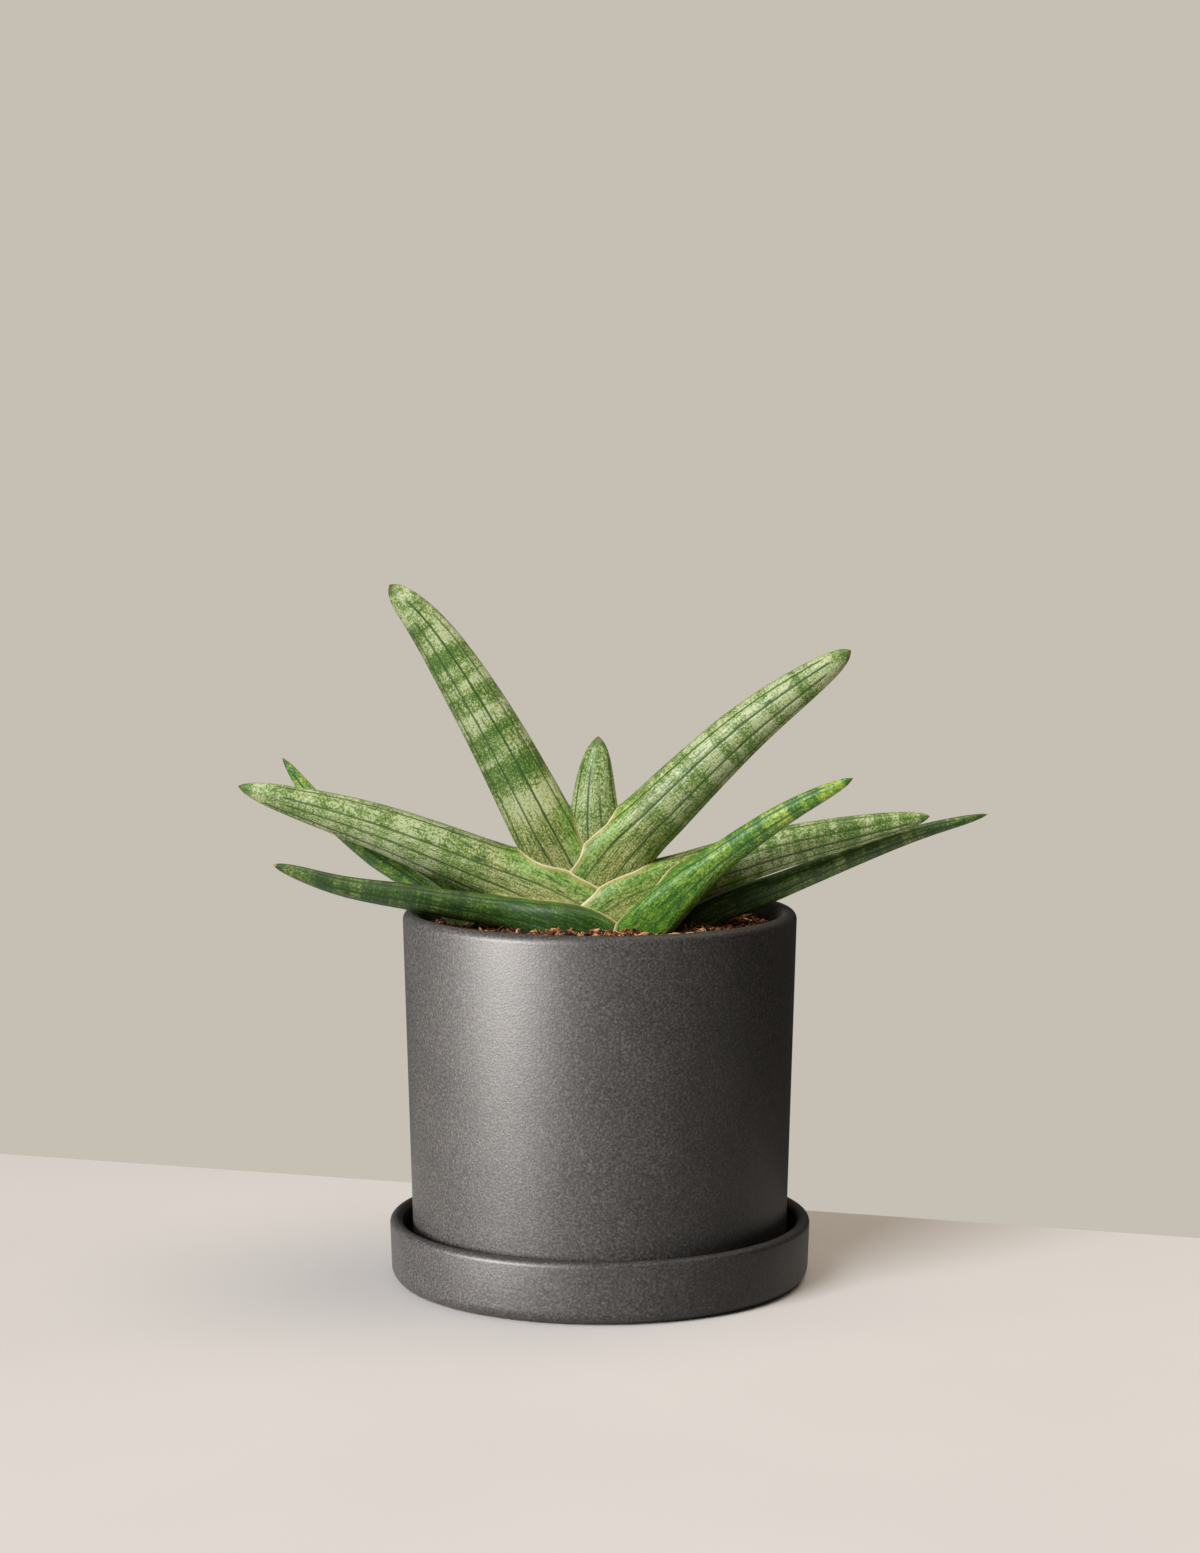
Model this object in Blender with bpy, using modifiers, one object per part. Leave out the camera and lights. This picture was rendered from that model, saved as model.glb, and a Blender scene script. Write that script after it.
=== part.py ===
"""Starfish-type cylindrical snake plant: a flat fan of thick leaves in a glazed pot with its saucer.

Frame: metres, +Z up, origin at the middle of the saucer's underside, +X along the fan, +Y away from the
side that the plant is looked at from.
"""

import math
from dataclasses import dataclass

import bmesh
import bpy
import numpy as np
from mathutils import Vector, noise

# Driving dimensions, in millimetres
MM = 0.001
CLEARANCE = 0.3

POT_TOP_RADIUS = 70.0
POT_FOOT_RADIUS = 66.4
POT_TOP_Z = 131.8
POT_WALL = 5.3
POT_FLOOR = 7.0
POT_LIP_OUTER_ROUND = 3.0
POT_LIP_INNER_ROUND = 2.2
POT_FOOT_ROUND = 3.0
POT_FOOT_RING = 9.0
POT_RECESS = 1.2
POT_INNER_FILLET = 6.0
DRAIN_RADIUS = 6.0

SAUCER_TOP_RADIUS = 75.1
SAUCER_FOOT_RADIUS = 74.3
SAUCER_HEIGHT = 22.0
SAUCER_WALL = 4.6
SAUCER_FLOOR = 4.0
SAUCER_FOOT_ROUND = 4.6
SAUCER_INNER_FILLET = 3.0

SOIL_EDGE_Z = 124.4
SOIL_MOUND = 2.6
SOIL_RELIEF = 1.1
SOIL_GRAIN = 9.0

RHIZOME_CENTRE = (-1.0, 0.0, 96.0)
RHIZOME_RADII = (42.0, 20.0, 14.0)
RHIZOME_TOP_Z = 104.7

TURN_STEPS = 48
ARC_STEPS = 3
SMOOTH_ANGLE = 40

# Cuts: how far a cutter reaches past a leaf's base, how much wider than the leaf a hole in the mix is,
# and the least share of a solid that a sound cut leaves
CUTTER_OVERRUN = 3.0
HOLE_MARGIN = 0.8
HOLE_SIDES = 16
LEAST_LEFT_BY_A_CUT = 0.1

# Form that all the leaves share, in millimetres. The channel's depths are shares of the half width, its
# width is in radians, and the sheath's start and end are lengths up from the base.
LEAF_RINGS = 16
FIRST_RING = 0.7
RING_CROWDING = 0.55
CURVE_STEPS = 24
TIP_POINT = 0.9
SHEATH_START = 32.0
SHEATH_END = 66.0
SHEATH_SQUARENESS = 5.0
LEAF_ROUNDNESS = 0.92
POINTS_PER_GROOVE = 3
GROOVE_DEPTH = 0.45
GROOVE_TIP_FREE = 8.0
GROOVE_FADE_IN = 14.0
CHANNEL_DEPTH = 0.10
CHANNEL_MOUTH = 0.34
CHANNEL_WIDTH = 0.62
BROAD_GROOVES = 10
SLENDER_GROOVES = 7


@dataclass(frozen=True)
class Leaf:
    """One leaf: its centre line from base to tip, and its widths, in millimetres."""

    name: str
    leans: int  # -1 to the left, +1 to the right: the channel faces the middle of the fan
    path: tuple
    half_width: float  # where the free leaf is widest, in the plane of the fan
    taper: float  # length over which it narrows to the tip
    fineness: float  # power of that narrowing: 0.5 is slender, 0.3 is blunt
    sheath_half_width: float  # of the clasping base, in the plane of the fan
    sheath_half_depth: float  # of the clasping base, front to back
    grooves: int = BROAD_GROOVES
    roll: float = 0.0  # degrees that the channel is turned to the front


# From the heart of the fan outwards: each leaf's base clasps the ones before it
LEAVES = (
    Leaf("leaf_heart", -1,
         ((2, 1, 105), (0.5, 1, 130), (-1.7, 1, 172), (-0.5, 2, 193.4)),
         11.5, 45, 0.43, 6.5, 7.0),
    Leaf("leaf_upper_left", -1,
         ((1, 0, 105), (-3, 0, 130), (-18.9, 0, 160.7), (-39.5, 1, 199), (-60, 2, 231), (-74.2, 2, 247)),
         12.5, 103, 0.33, 10.0, 8.8),
    Leaf("leaf_upper_right", 1,
         ((-4, 0, 105), (-6.5, 0, 131), (2.8, 0, 148.6), (22.8, 0, 169.4), (52.8, -1, 197.6),
          (88.5, -2, 224.1)),
         12.4, 112, 0.37, 13.8, 10.6),
    Leaf("leaf_left", -1,
         ((5, 0, 105), (0.5, 0, 126), (-16.5, 0, 137.2), (-42.7, 0, 147.5), (-80.3, -2, 162.1),
          (-127.8, -3, 176.1)),
         12.3, 116, 0.43, 13.8, 12.4),
    Leaf("leaf_right", 1,
         ((-8, 0, 105), (-7.5, 0, 119), (6.5, 0, 132.6), (29.2, 0, 142.6), (61.1, 0, 153), (94.7, 1, 160.6),
          (117.3, 2, 164.9)),
         10.9, 112, 0.44, 12.6, 14.2),
    Leaf("leaf_lower_left", -1,
         ((11, -1, 105), (8, -2, 117), (-3.5, -4, 126), (-24.6, -9, 131), (-48.4, -13, 135),
          (-66, -15.5, 138.3), (-90.6, -17, 142.5), (-114.1, -20, 150.2)),
         5.9, 80, 0.37, 8.5, 15.4, grooves=SLENDER_GROOVES),
    Leaf("leaf_front_right", 1,
         ((6, -3, 105), (8, -4, 117), (17, -9.5, 129.9), (38.3, -18, 149.7), (64.6, -22, 168.5),
          (87.7, -26, 181.1)),
         6.2, 72, 0.40, 9.0, 13.8, grooves=SLENDER_GROOVES),
    Leaf("leaf_back_left", -1,
         ((-24, 8, 105), (-31, 10, 116.5), (-60, 15, 137), (-81, 18, 150.3), (-101, 23, 166.3),
          (-115, 26, 183.6)),
         5.6, 50, 0.48, 5.6, 6.0, grooves=SLENDER_GROOVES, roll=50),
    Leaf("leaf_lower_right", 1,
         ((22, 4, 105), (24.5, 4, 117), (35.7, 5, 128.3), (64.2, 7, 139.6), (110.3, 10, 157),
          (139.2, 12, 164.6)),
         5.4, 98, 0.46, 5.4, 5.6, grooves=SLENDER_GROOVES),
)


def new_collection(name):
    """Adds a collection to the scene."""
    collection = bpy.data.collections.new(name)
    bpy.context.scene.collection.children.link(collection)
    return collection


def new_material(name, colour, roughness):
    """Makes a plain material from a linear colour and a roughness."""
    material = bpy.data.materials.new(name)
    material.use_nodes = True
    shader = material.node_tree.nodes["Principled BSDF"]
    shader.inputs["Base Color"].default_value = (*colour, 1.0)
    shader.inputs["Roughness"].default_value = roughness
    shader.inputs["Metallic"].default_value = 0.0
    return material


def new_object(name, mesh, collection, material=None):
    """Adds an object for a mesh."""
    obj = bpy.data.objects.new(name, mesh)
    collection.objects.link(obj)
    if material is not None:
        mesh.materials.append(material)
    return obj


def apply_modifiers(obj):
    """Replaces an object's mesh with the one that its modifiers make."""
    graph = bpy.context.evaluated_depsgraph_get()
    mesh = bpy.data.meshes.new_from_object(obj.evaluated_get(graph))
    obj.modifiers.clear()
    obj.data = mesh


def closed_volume(mesh):
    """Volume that a mesh holds, or 0 where an edge of it is open."""
    work = bmesh.new()
    work.from_mesh(mesh)
    is_closed = all(edge.is_manifold for edge in work.edges)
    volume = work.calc_volume() if is_closed else 0.0
    work.free()
    return volume


def cut(obj, cutters):
    """Takes the cutters out of an object and keeps its largest body."""
    whole = obj.data
    least_volume = closed_volume(whole) * LEAST_LEFT_BY_A_CUT
    for solver in ("EXACT", "MANIFOLD"):
        obj.data = whole
        for cutter in cutters:
            modifier = obj.modifiers.new(cutter.name, "BOOLEAN")
            modifier.operation = "DIFFERENCE"
            modifier.solver = solver
            modifier.object = cutter
        apply_modifiers(obj)
        keep_largest_body(obj.data)
        if closed_volume(obj.data) > least_volume:
            break


def keep_largest_body(mesh):
    """Deletes the loose scraps that a cut leaves beside the main body."""
    work = bmesh.new()
    work.from_mesh(mesh)
    unseen = set(work.verts)
    bodies = []
    while unseen:
        body = {unseen.pop()}
        edge_of_search = list(body)
        while edge_of_search:
            vertex = edge_of_search.pop()
            for edge in vertex.link_edges:
                other = edge.other_vert(vertex)
                if other in unseen:
                    unseen.remove(other)
                    body.add(other)
                    edge_of_search.append(other)
        bodies.append(body)
    bodies.sort(key=len)
    for body in bodies[:-1]:
        bmesh.ops.delete(work, geom=list(body), context="VERTS")
    work.to_mesh(mesh)
    work.free()


def smooth(mesh):
    """Shades a mesh smooth, with its hard corners kept."""
    mesh.shade_smooth()
    mesh.set_sharp_from_angle(angle=math.radians(SMOOTH_ANGLE))


def arc(centre_r, centre_z, radius, start, end):
    """Points along an arc of a turned profile, angles in degrees from the outward direction."""
    points = []
    for step in range(ARC_STEPS + 1):
        angle = math.radians(start + (end - start) * step / ARC_STEPS)
        points.append((centre_r + radius * math.cos(angle), centre_z + radius * math.sin(angle)))
    return points


def turn(name, profile, closed, collection, material):
    """Turns a profile of (radius, height) points in millimetres about Z."""
    points = [(r * MM, 0.0, z * MM) for r, z in profile]
    edges = [(i, i + 1) for i in range(len(points) - 1)]
    if closed:
        edges.append((len(points) - 1, 0))
    mesh = bpy.data.meshes.new(name)
    mesh.from_pydata(points, edges, [])
    obj = new_object(name, mesh, collection)
    screw = obj.modifiers.new("turned", "SCREW")
    screw.steps = TURN_STEPS
    screw.render_steps = TURN_STEPS
    screw.use_merge_vertices = True
    screw.merge_threshold = 0.00001
    apply_modifiers(obj)
    obj.data.materials.clear()
    obj.data.materials.append(material)
    smooth(obj.data)
    return obj


def make_saucer(collection, material):
    """The saucer: a flat floor, an upright wall with a rounded lip, and a rounded foot."""
    lip = SAUCER_WALL / 2
    lip_r = SAUCER_TOP_RADIUS - lip
    lip_z = SAUCER_HEIGHT - lip
    fillet = SAUCER_INNER_FILLET
    inner_r = SAUCER_FOOT_RADIUS - SAUCER_WALL
    profile = [(0.0, SAUCER_FLOOR)]
    profile += arc(inner_r - fillet, SAUCER_FLOOR + fillet, fillet, -90, 0)
    profile += arc(lip_r, lip_z, lip, 180, 90)
    profile += arc(lip_r, lip_z, lip, 90, 0)[1:]
    profile += arc(SAUCER_FOOT_RADIUS - SAUCER_FOOT_ROUND, SAUCER_FOOT_ROUND, SAUCER_FOOT_ROUND, 0, -90)
    profile.append((0.0, 0.0))
    return turn("saucer", profile, False, collection, material)


def pot_inner_radius(z):
    """Radius of the pot's inner wall at a height."""
    foot_z = SAUCER_FLOOR + CLEARANCE
    share = (z - foot_z) / (POT_TOP_Z - foot_z)
    return POT_FOOT_RADIUS - POT_WALL + share * (POT_TOP_RADIUS - POT_FOOT_RADIUS)


def make_pot(collection, material):
    """The pot: a tapered wall with a rounded lip, a foot ring, and a floor with a drainage hole."""
    foot_z = SAUCER_FLOOR + CLEARANCE
    floor_z = foot_z + POT_FLOOR
    recess_z = foot_z + POT_RECESS
    recess_r = POT_FOOT_RADIUS - POT_FOOT_RING
    inner_round = POT_LIP_INNER_ROUND
    outer_round = POT_LIP_OUTER_ROUND
    fillet = POT_INNER_FILLET
    inner_foot_r = pot_inner_radius(floor_z + fillet)
    profile = [(DRAIN_RADIUS, floor_z)]
    profile += arc(inner_foot_r - fillet, floor_z + fillet, fillet, -90, 0)
    profile += arc(POT_TOP_RADIUS - POT_WALL + inner_round, POT_TOP_Z - inner_round, inner_round, 180, 90)
    profile += arc(POT_TOP_RADIUS - outer_round, POT_TOP_Z - outer_round, outer_round, 90, 0)
    profile += arc(POT_FOOT_RADIUS - POT_FOOT_ROUND, foot_z + POT_FOOT_ROUND, POT_FOOT_ROUND, 0, -90)
    profile.append((recess_r, foot_z))
    profile.append((recess_r - POT_RECESS, recess_z))
    profile.append((DRAIN_RADIUS, recess_z))
    return turn("pot", profile, True, collection, material)


def make_rhizome(collection, material, name="rhizome", grow=0.0):
    """The thick underground stem: an ovoid with a flat top that the leaf bases stand on."""
    work = bmesh.new()
    bmesh.ops.create_uvsphere(work, u_segments=20, v_segments=12, radius=1.0)
    radii = [(radius + grow) * MM for radius in RHIZOME_RADII]
    bmesh.ops.scale(work, vec=Vector(radii), verts=work.verts)
    bmesh.ops.translate(work, vec=Vector(RHIZOME_CENTRE) * MM, verts=work.verts)
    top = Vector((0, 0, (RHIZOME_TOP_Z + grow) * MM))
    everything = work.verts[:] + work.edges[:] + work.faces[:]
    bmesh.ops.bisect_plane(work, geom=everything, plane_co=top, plane_no=(0, 0, 1), clear_outer=True)
    bmesh.ops.holes_fill(work, edges=[edge for edge in work.edges if edge.is_boundary])
    mesh = bpy.data.meshes.new(name)
    work.to_mesh(mesh)
    work.free()
    smooth(mesh)
    return new_object(name, mesh, collection, material)


def smoothstep(value):
    """Eases a value from 0 to 1."""
    value = np.clip(value, 0.0, 1.0)
    return value * value * (3.0 - 2.0 * value)


def centre_line(path):
    """A smooth curve through the path's points: many points, and the length up to each."""
    knots = np.array(path, float)
    knots = np.vstack([2 * knots[0] - knots[1], knots, 2 * knots[-1] - knots[-2]])
    chords = np.sqrt(np.linalg.norm(np.diff(knots, axis=0), axis=1))
    times = np.concatenate([[0.0], np.cumsum(chords)])
    points = []
    for i in range(1, len(knots) - 2):
        t0, t1, t2, t3 = times[i - 1:i + 3]
        t = np.linspace(t1, t2, CURVE_STEPS, endpoint=False)[:, None]
        a1 = (t1 - t) / (t1 - t0) * knots[i - 1] + (t - t0) / (t1 - t0) * knots[i]
        a2 = (t2 - t) / (t2 - t1) * knots[i] + (t - t1) / (t2 - t1) * knots[i + 1]
        a3 = (t3 - t) / (t3 - t2) * knots[i + 1] + (t - t2) / (t3 - t2) * knots[i + 2]
        b1 = (t2 - t) / (t2 - t0) * a1 + (t - t0) / (t2 - t0) * a2
        b2 = (t3 - t) / (t3 - t1) * a2 + (t - t1) / (t3 - t1) * a3
        points.append((t2 - t) / (t2 - t1) * b1 + (t - t1) / (t2 - t1) * b2)
    points = np.vstack(points + [knots[-2:-1]])
    steps = np.linalg.norm(np.diff(points, axis=0), axis=1)
    return points, np.concatenate([[0.0], np.cumsum(steps)])


def ring_distances(length):
    """Distances from the tip of a leaf's rings, closer together at both its ends."""
    share = np.arange(1, LEAF_RINGS + 1) / LEAF_RINGS
    crowded = (1 - np.cos(math.pi * share)) / 2
    eased = share + RING_CROWDING * (crowded - share)
    return np.concatenate([[FIRST_RING], eased * length])


def ring_frames(leaf, from_base):
    """Centre, up-the-leaf, towards-the-channel and sideways directions of each ring."""
    points, lengths = centre_line(leaf.path)
    axes = [np.interp(from_base, lengths, points[:, k]) for k in range(3)]
    centres = np.stack(axes, axis=1)
    tangents = np.gradient(points, lengths, axis=0)
    along = np.stack([np.interp(from_base, lengths, tangents[:, k]) for k in range(3)], axis=1)
    along[from_base <= 0.0] = (0.0, 0.0, 1.0)
    along /= np.linalg.norm(along, axis=1)[:, None]
    back = np.array([0.0, 1.0, 0.0])
    sideways = back - along * (along @ back)[:, None]
    sideways /= np.linalg.norm(sideways, axis=1)[:, None]
    channel = -leaf.leans * np.cross(sideways, along)
    turned = math.radians(leaf.roll) * smoothstep(from_base / SHEATH_START)[:, None]
    rolled = channel * np.cos(turned) - sideways * np.sin(turned)
    sideways = sideways * np.cos(turned) + channel * np.sin(turned)
    return centres, along, rolled, sideways


def ring_sizes(leaf, from_tip, from_base):
    """Half width, half depth and squareness of each ring, and how far it belongs to the sheath."""
    narrowing = np.minimum(from_tip / leaf.taper, 1.0) ** leaf.fineness
    free = leaf.half_width * narrowing * from_tip / (from_tip + TIP_POINT)
    sheath = 1.0 - smoothstep((from_base - SHEATH_START) / (SHEATH_END - SHEATH_START))
    half_width = free + (leaf.sheath_half_width - free) * sheath
    half_depth = free * LEAF_ROUNDNESS + (leaf.sheath_half_depth - free * LEAF_ROUNDNESS) * sheath
    squareness = 2.0 + (SHEATH_SQUARENESS - 2.0) * sheath
    return half_width, half_depth, squareness, sheath


def leaf_rings(leaf, grow, count):
    """The leaf's surface points, ring by ring from the tip to the base."""
    points, lengths = centre_line(leaf.path)
    length = lengths[-1]
    from_tip = ring_distances(length)
    from_base = length - from_tip
    centres, along, channel, sideways = ring_frames(leaf, from_base)
    half_width, half_depth, squareness, sheath = ring_sizes(leaf, from_tip, from_base)
    angle = 2 * math.pi * np.arange(count) / count
    cosine = np.cos(angle)[None, :]
    sine = np.sin(angle)[None, :]
    power = squareness[:, None]
    outline = (np.abs(cosine) ** power + np.abs(sine) ** power) ** (-1 / power)
    mouth = CHANNEL_DEPTH + (CHANNEL_MOUTH - CHANNEL_DEPTH) * sheath
    from_channel = np.minimum(angle, 2 * math.pi - angle) / CHANNEL_WIDTH
    dip = smoothstep((from_tip - TIP_POINT) / leaf.taper)[:, None] * mouth[:, None]
    outline = outline * (1 - dip * np.exp(-from_channel ** 2)[None, :])
    grooved = (np.arange(count) % POINTS_PER_GROOVE == 0)[None, :] * (count == leaf_sides(leaf))
    depth = GROOVE_DEPTH * smoothstep((from_tip - GROOVE_TIP_FREE) / GROOVE_FADE_IN) * (1 - 0.7 * sheath)
    inset = grow - grooved * depth[:, None]
    across = (half_width[:, None] * outline + inset) * cosine
    deep = (half_depth[:, None] * outline + inset) * sine
    surface = centres[:, None, :] + across[..., None] * channel[:, None, :]
    surface = surface + deep[..., None] * sideways[:, None, :]
    if grow:
        below_base = surface[-1:] - along[-1] * CUTTER_OVERRUN
        surface = np.concatenate([surface, below_base])
    tip = points[-1] + along[0] * grow
    return tip, surface


def leaf_sides(leaf):
    """Points round a leaf: one in each groove and two on the rib beside it."""
    return POINTS_PER_GROOVE * leaf.grooves


def leaf_mesh(leaf, name, grow, count):
    """Lofts a leaf from its tip down to its flat base; grow swells it, to make a cutter."""
    tip, rings = leaf_rings(leaf, grow, count)
    vertices = [tip] + list(rings.reshape(-1, 3))
    faces = []
    for i in range(count):
        j = (i + 1) % count
        faces.append((0, 1 + i, 1 + j))
        for ring in range(len(rings) - 1):
            upper = 1 + ring * count
            lower = upper + count
            faces.append((upper + i, lower + i, lower + j, upper + j))
    last = 1 + (len(rings) - 1) * count
    faces.append(tuple(last + i for i in reversed(range(count))))
    mesh = bpy.data.meshes.new(name)
    mesh.from_pydata([tuple(vertex * MM) for vertex in vertices], [], faces)
    work = bmesh.new()
    work.from_mesh(mesh)
    bmesh.ops.recalc_face_normals(work, faces=work.faces)
    work.to_mesh(mesh)
    work.free()
    return mesh


def make_sheath_cutters(collection):
    """Each leaf's full form, swollen by the clearance, to take out of the leaves that clasp it."""
    cutters = []
    for leaf in LEAVES:
        name = leaf.name + "_clasped"
        mesh = leaf_mesh(leaf, name, CLEARANCE * 1.2, leaf_sides(leaf))
        cutters.append(new_object(name, mesh, collection))
    return cutters


def make_hole_cutters(collection):
    """Each leaf's form without its grooves, a little fuller, for a plain hole in the mix."""
    cutters = []
    for leaf in LEAVES:
        name = leaf.name + "_hole"
        mesh = leaf_mesh(leaf, name, HOLE_MARGIN, HOLE_SIDES)
        cutters.append(new_object(name, mesh, collection))
    return cutters


def make_leaves(collection, cutters, pale, dark):
    """The leaves, each with the inner ones taken out of its base so that it clasps them."""
    leaves = []
    for i, leaf in enumerate(LEAVES):
        material = dark if leaf.grooves == SLENDER_GROOVES else pale
        mesh = leaf_mesh(leaf, leaf.name, 0.0, leaf_sides(leaf))
        obj = new_object(leaf.name, mesh, collection, material)
        cut(obj, cutters[:i])
        smooth(obj.data)
        leaves.append(obj)
    return leaves


def make_soil(collection, material, cutters):
    """The potting mix: it fills the pot, is mounded and lumpy on top, and has plain holes for the plant."""
    floor_z = SAUCER_FLOOR + CLEARANCE + POT_FLOOR + CLEARANCE
    bottom = pot_inner_radius(floor_z + POT_INNER_FILLET) - CLEARANCE
    edge = pot_inner_radius(SOIL_EDGE_Z) - CLEARANCE
    fillet = POT_INNER_FILLET
    profile = [(edge * share, SOIL_EDGE_Z) for share in (0.0, 0.16, 0.33, 0.5, 0.66, 0.8, 0.92, 1.0)]
    profile += arc(bottom - fillet, floor_z + fillet, fillet, 0, -90)
    profile.append((0.0, floor_z))
    soil = turn("potting_mix", profile, False, collection, material)
    edge_z = (SOIL_EDGE_Z - 0.01) * MM
    for vertex in soil.data.vertices:
        if vertex.co.z > edge_z:
            vertex.co.z += soil_rise(vertex.co / MM, edge) * MM
    cut(soil, cutters)
    smooth(soil.data)
    return soil


def soil_rise(place, edge):
    """Height of the mix above its edge: a low mound with lumps that fade at the wall."""
    share = math.hypot(place.x, place.y) / edge
    lumps = noise.noise(Vector((place.x, place.y, SOIL_GRAIN)) / SOIL_GRAIN)
    return SOIL_MOUND * (1 - share * share) + SOIL_RELIEF * lumps * (1 - share ** 4)


def main():
    """Builds the plant, its mix, its pot and its saucer."""
    for old in list(bpy.data.objects):
        bpy.data.objects.remove(old, do_unlink=True)
    plant = new_collection("cylindrical snake plant")
    tools = new_collection("cutters")
    ceramic = new_material("dark grey glazed stoneware", (0.045, 0.043, 0.042), 0.5)
    mix = new_material("bark and coir mix", (0.06, 0.025, 0.012), 0.95)
    root = new_material("pale rhizome", (0.45, 0.33, 0.18), 0.7)
    pale = new_material("pale grey-green leaf", (0.27, 0.36, 0.16), 0.45)
    dark = new_material("dark green leaf", (0.05, 0.14, 0.03), 0.4)
    make_saucer(plant, ceramic)
    make_pot(plant, ceramic)
    make_rhizome(plant, root)
    make_leaves(plant, make_sheath_cutters(tools), pale, dark)
    rhizome_hole = make_rhizome(tools, root, "rhizome_hole", CLEARANCE)
    make_soil(plant, mix, make_hole_cutters(tools) + [rhizome_hole])
    for cutter in tools.objects:
        cutter.hide_render = True
        cutter.display_type = "WIRE"


main()
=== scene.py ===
"""Looks of a starfish-type cylindrical snake plant in its glazed pot and saucer.

Every piece is modelled in metres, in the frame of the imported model, and stands for one of its nodes or
lies on one. Leaves are lofted from the same form as the solids, but finely, and their bases clasp each
other; the potting mix gets its chips, strands and grains; the pot and saucer get true rounds and a
satin speckled glaze.
"""

import logging
import math
from dataclasses import dataclass, field, replace
from enum import Enum
from typing import Callable, Mapping, Optional, Sequence, Union

import bmesh
import bpy
import numpy as np
from mathutils import Euler, Matrix, Vector, noise
from mathutils.bvhtree import BVHTree
from mathutils.kdtree import KDTree


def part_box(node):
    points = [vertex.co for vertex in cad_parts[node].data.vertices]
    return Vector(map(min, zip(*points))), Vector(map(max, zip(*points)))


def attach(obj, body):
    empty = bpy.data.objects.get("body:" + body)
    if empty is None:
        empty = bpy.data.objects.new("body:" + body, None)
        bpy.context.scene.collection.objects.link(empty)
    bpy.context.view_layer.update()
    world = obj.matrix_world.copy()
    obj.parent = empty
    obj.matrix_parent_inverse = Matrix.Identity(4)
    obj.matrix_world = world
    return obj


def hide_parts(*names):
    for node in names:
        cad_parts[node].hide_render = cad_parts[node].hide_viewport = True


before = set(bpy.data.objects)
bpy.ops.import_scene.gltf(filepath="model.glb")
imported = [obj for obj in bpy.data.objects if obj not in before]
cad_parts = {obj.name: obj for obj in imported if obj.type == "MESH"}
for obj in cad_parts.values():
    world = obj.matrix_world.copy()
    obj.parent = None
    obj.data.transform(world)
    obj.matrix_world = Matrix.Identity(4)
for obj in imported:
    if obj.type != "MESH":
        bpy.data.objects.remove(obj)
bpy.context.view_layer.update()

LOG = logging.getLogger("snake_plant")

MM = 0.001
UV_NAME = "UVMap"

# What a clasped leaf's copy carries in its U coordinate, so that the wall it cuts can be told apart
INNER_U = 10.0

# The least upward part of a level face's normal
LEVEL = 0.9

# The node kinds that appear most, each with its setting
ADD, SUBTRACT, MULTIPLY, MULTIPLY_ADD = (
    ("ShaderNodeMath", {"operation": name}) for name in ("ADD", "SUBTRACT", "MULTIPLY", "MULTIPLY_ADD"))

Number = Union[float, np.ndarray]
Spots = Sequence[tuple[Vector, Vector]]


class Slot(Enum):
    """The record's material slots, which the leaf finishes name."""

    STONEWARE = "stoneware"
    POTTING_MIX = "potting_mix"
    PALE_LEAF = "pale_leaf"
    DARK_LEAF = "dark_leaf"


class Side(Enum):
    """The side of the fan that a leaf leans to."""

    LEFT = -1
    RIGHT = 1


def smoothstep(value: Number) -> Number:
    """Eases a value from 0 to 1.

    Args:
        value: A number or an array.

    Returns:
        The eased value, of the same shape.
    """
    value = np.clip(value, 0.0, 1.0)
    return value * value * (3.0 - 2.0 * value)


def linear(code: str) -> tuple[float, float, float, float]:
    """Turns an sRGB hex colour to linear light.

    Args:
        code: Six hex digits, with or without a leading mark.

    Returns:
        Red, green, blue and an alpha of one.
    """
    code = code.lstrip("#")
    channels = []
    for start in (0, 2, 4):
        value = int(code[start:start + 2], 16) / 255.0
        channels.append(value / 12.92 if value <= 0.04045 else ((value + 0.055) / 1.055) ** 2.4)
    return (channels[0], channels[1], channels[2], 1.0)


def add_node(
    tree: bpy.types.NodeTree,
    kind: str,
    settings: Optional[Mapping] = None,
    inputs: Union[Mapping, Sequence] = (),
    output: Union[int, str] = 0,
    stops: Sequence[tuple[float, str]] = (),
) -> bpy.types.NodeSocket:
    """Adds a node with its settings and links.

    Args:
        tree: The tree that takes the node.
        kind: The node's type.
        settings: Its properties by name.
        inputs: In order, or by name or number: a value or the socket that feeds it.
        output: The output wanted, by name or number.
        stops: For a colour ramp, its positions and sRGB colours.

    Returns:
        The wanted output socket.
    """
    node = tree.nodes.new(kind)
    for key, value in (settings or {}).items():
        setattr(node, key, value)
    for key, value in (inputs.items() if isinstance(inputs, Mapping) else enumerate(inputs)):
        if isinstance(value, bpy.types.NodeSocket):
            tree.links.new(value, node.inputs[key])
        else:
            node.inputs[key].default_value = value
    if stops:
        elements = node.color_ramp.elements
        while len(elements) < len(stops):
            elements.new(0.5)
        for element, (position, code) in zip(elements, stops):
            element.position = position
            element.color = linear(code)
    return node.outputs[output] if len(node.outputs) else None


def select_only(obj: bpy.types.Object) -> None:
    """Deselects everything, then selects one object and makes it active.

    Args:
        obj: The object.
    """
    bpy.ops.object.select_all(action="DESELECT")
    obj.select_set(True)
    bpy.context.view_layer.objects.active = obj


def add_primitive(operator: Callable, **settings: object) -> bpy.types.Object:
    """Adds a primitive with nothing else selected.

    Args:
        operator: Blender's operator for it.
        settings: The operator's settings.

    Returns:
        The new object.
    """
    bpy.ops.object.select_all(action="DESELECT")
    operator(**settings)
    return bpy.context.object


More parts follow.
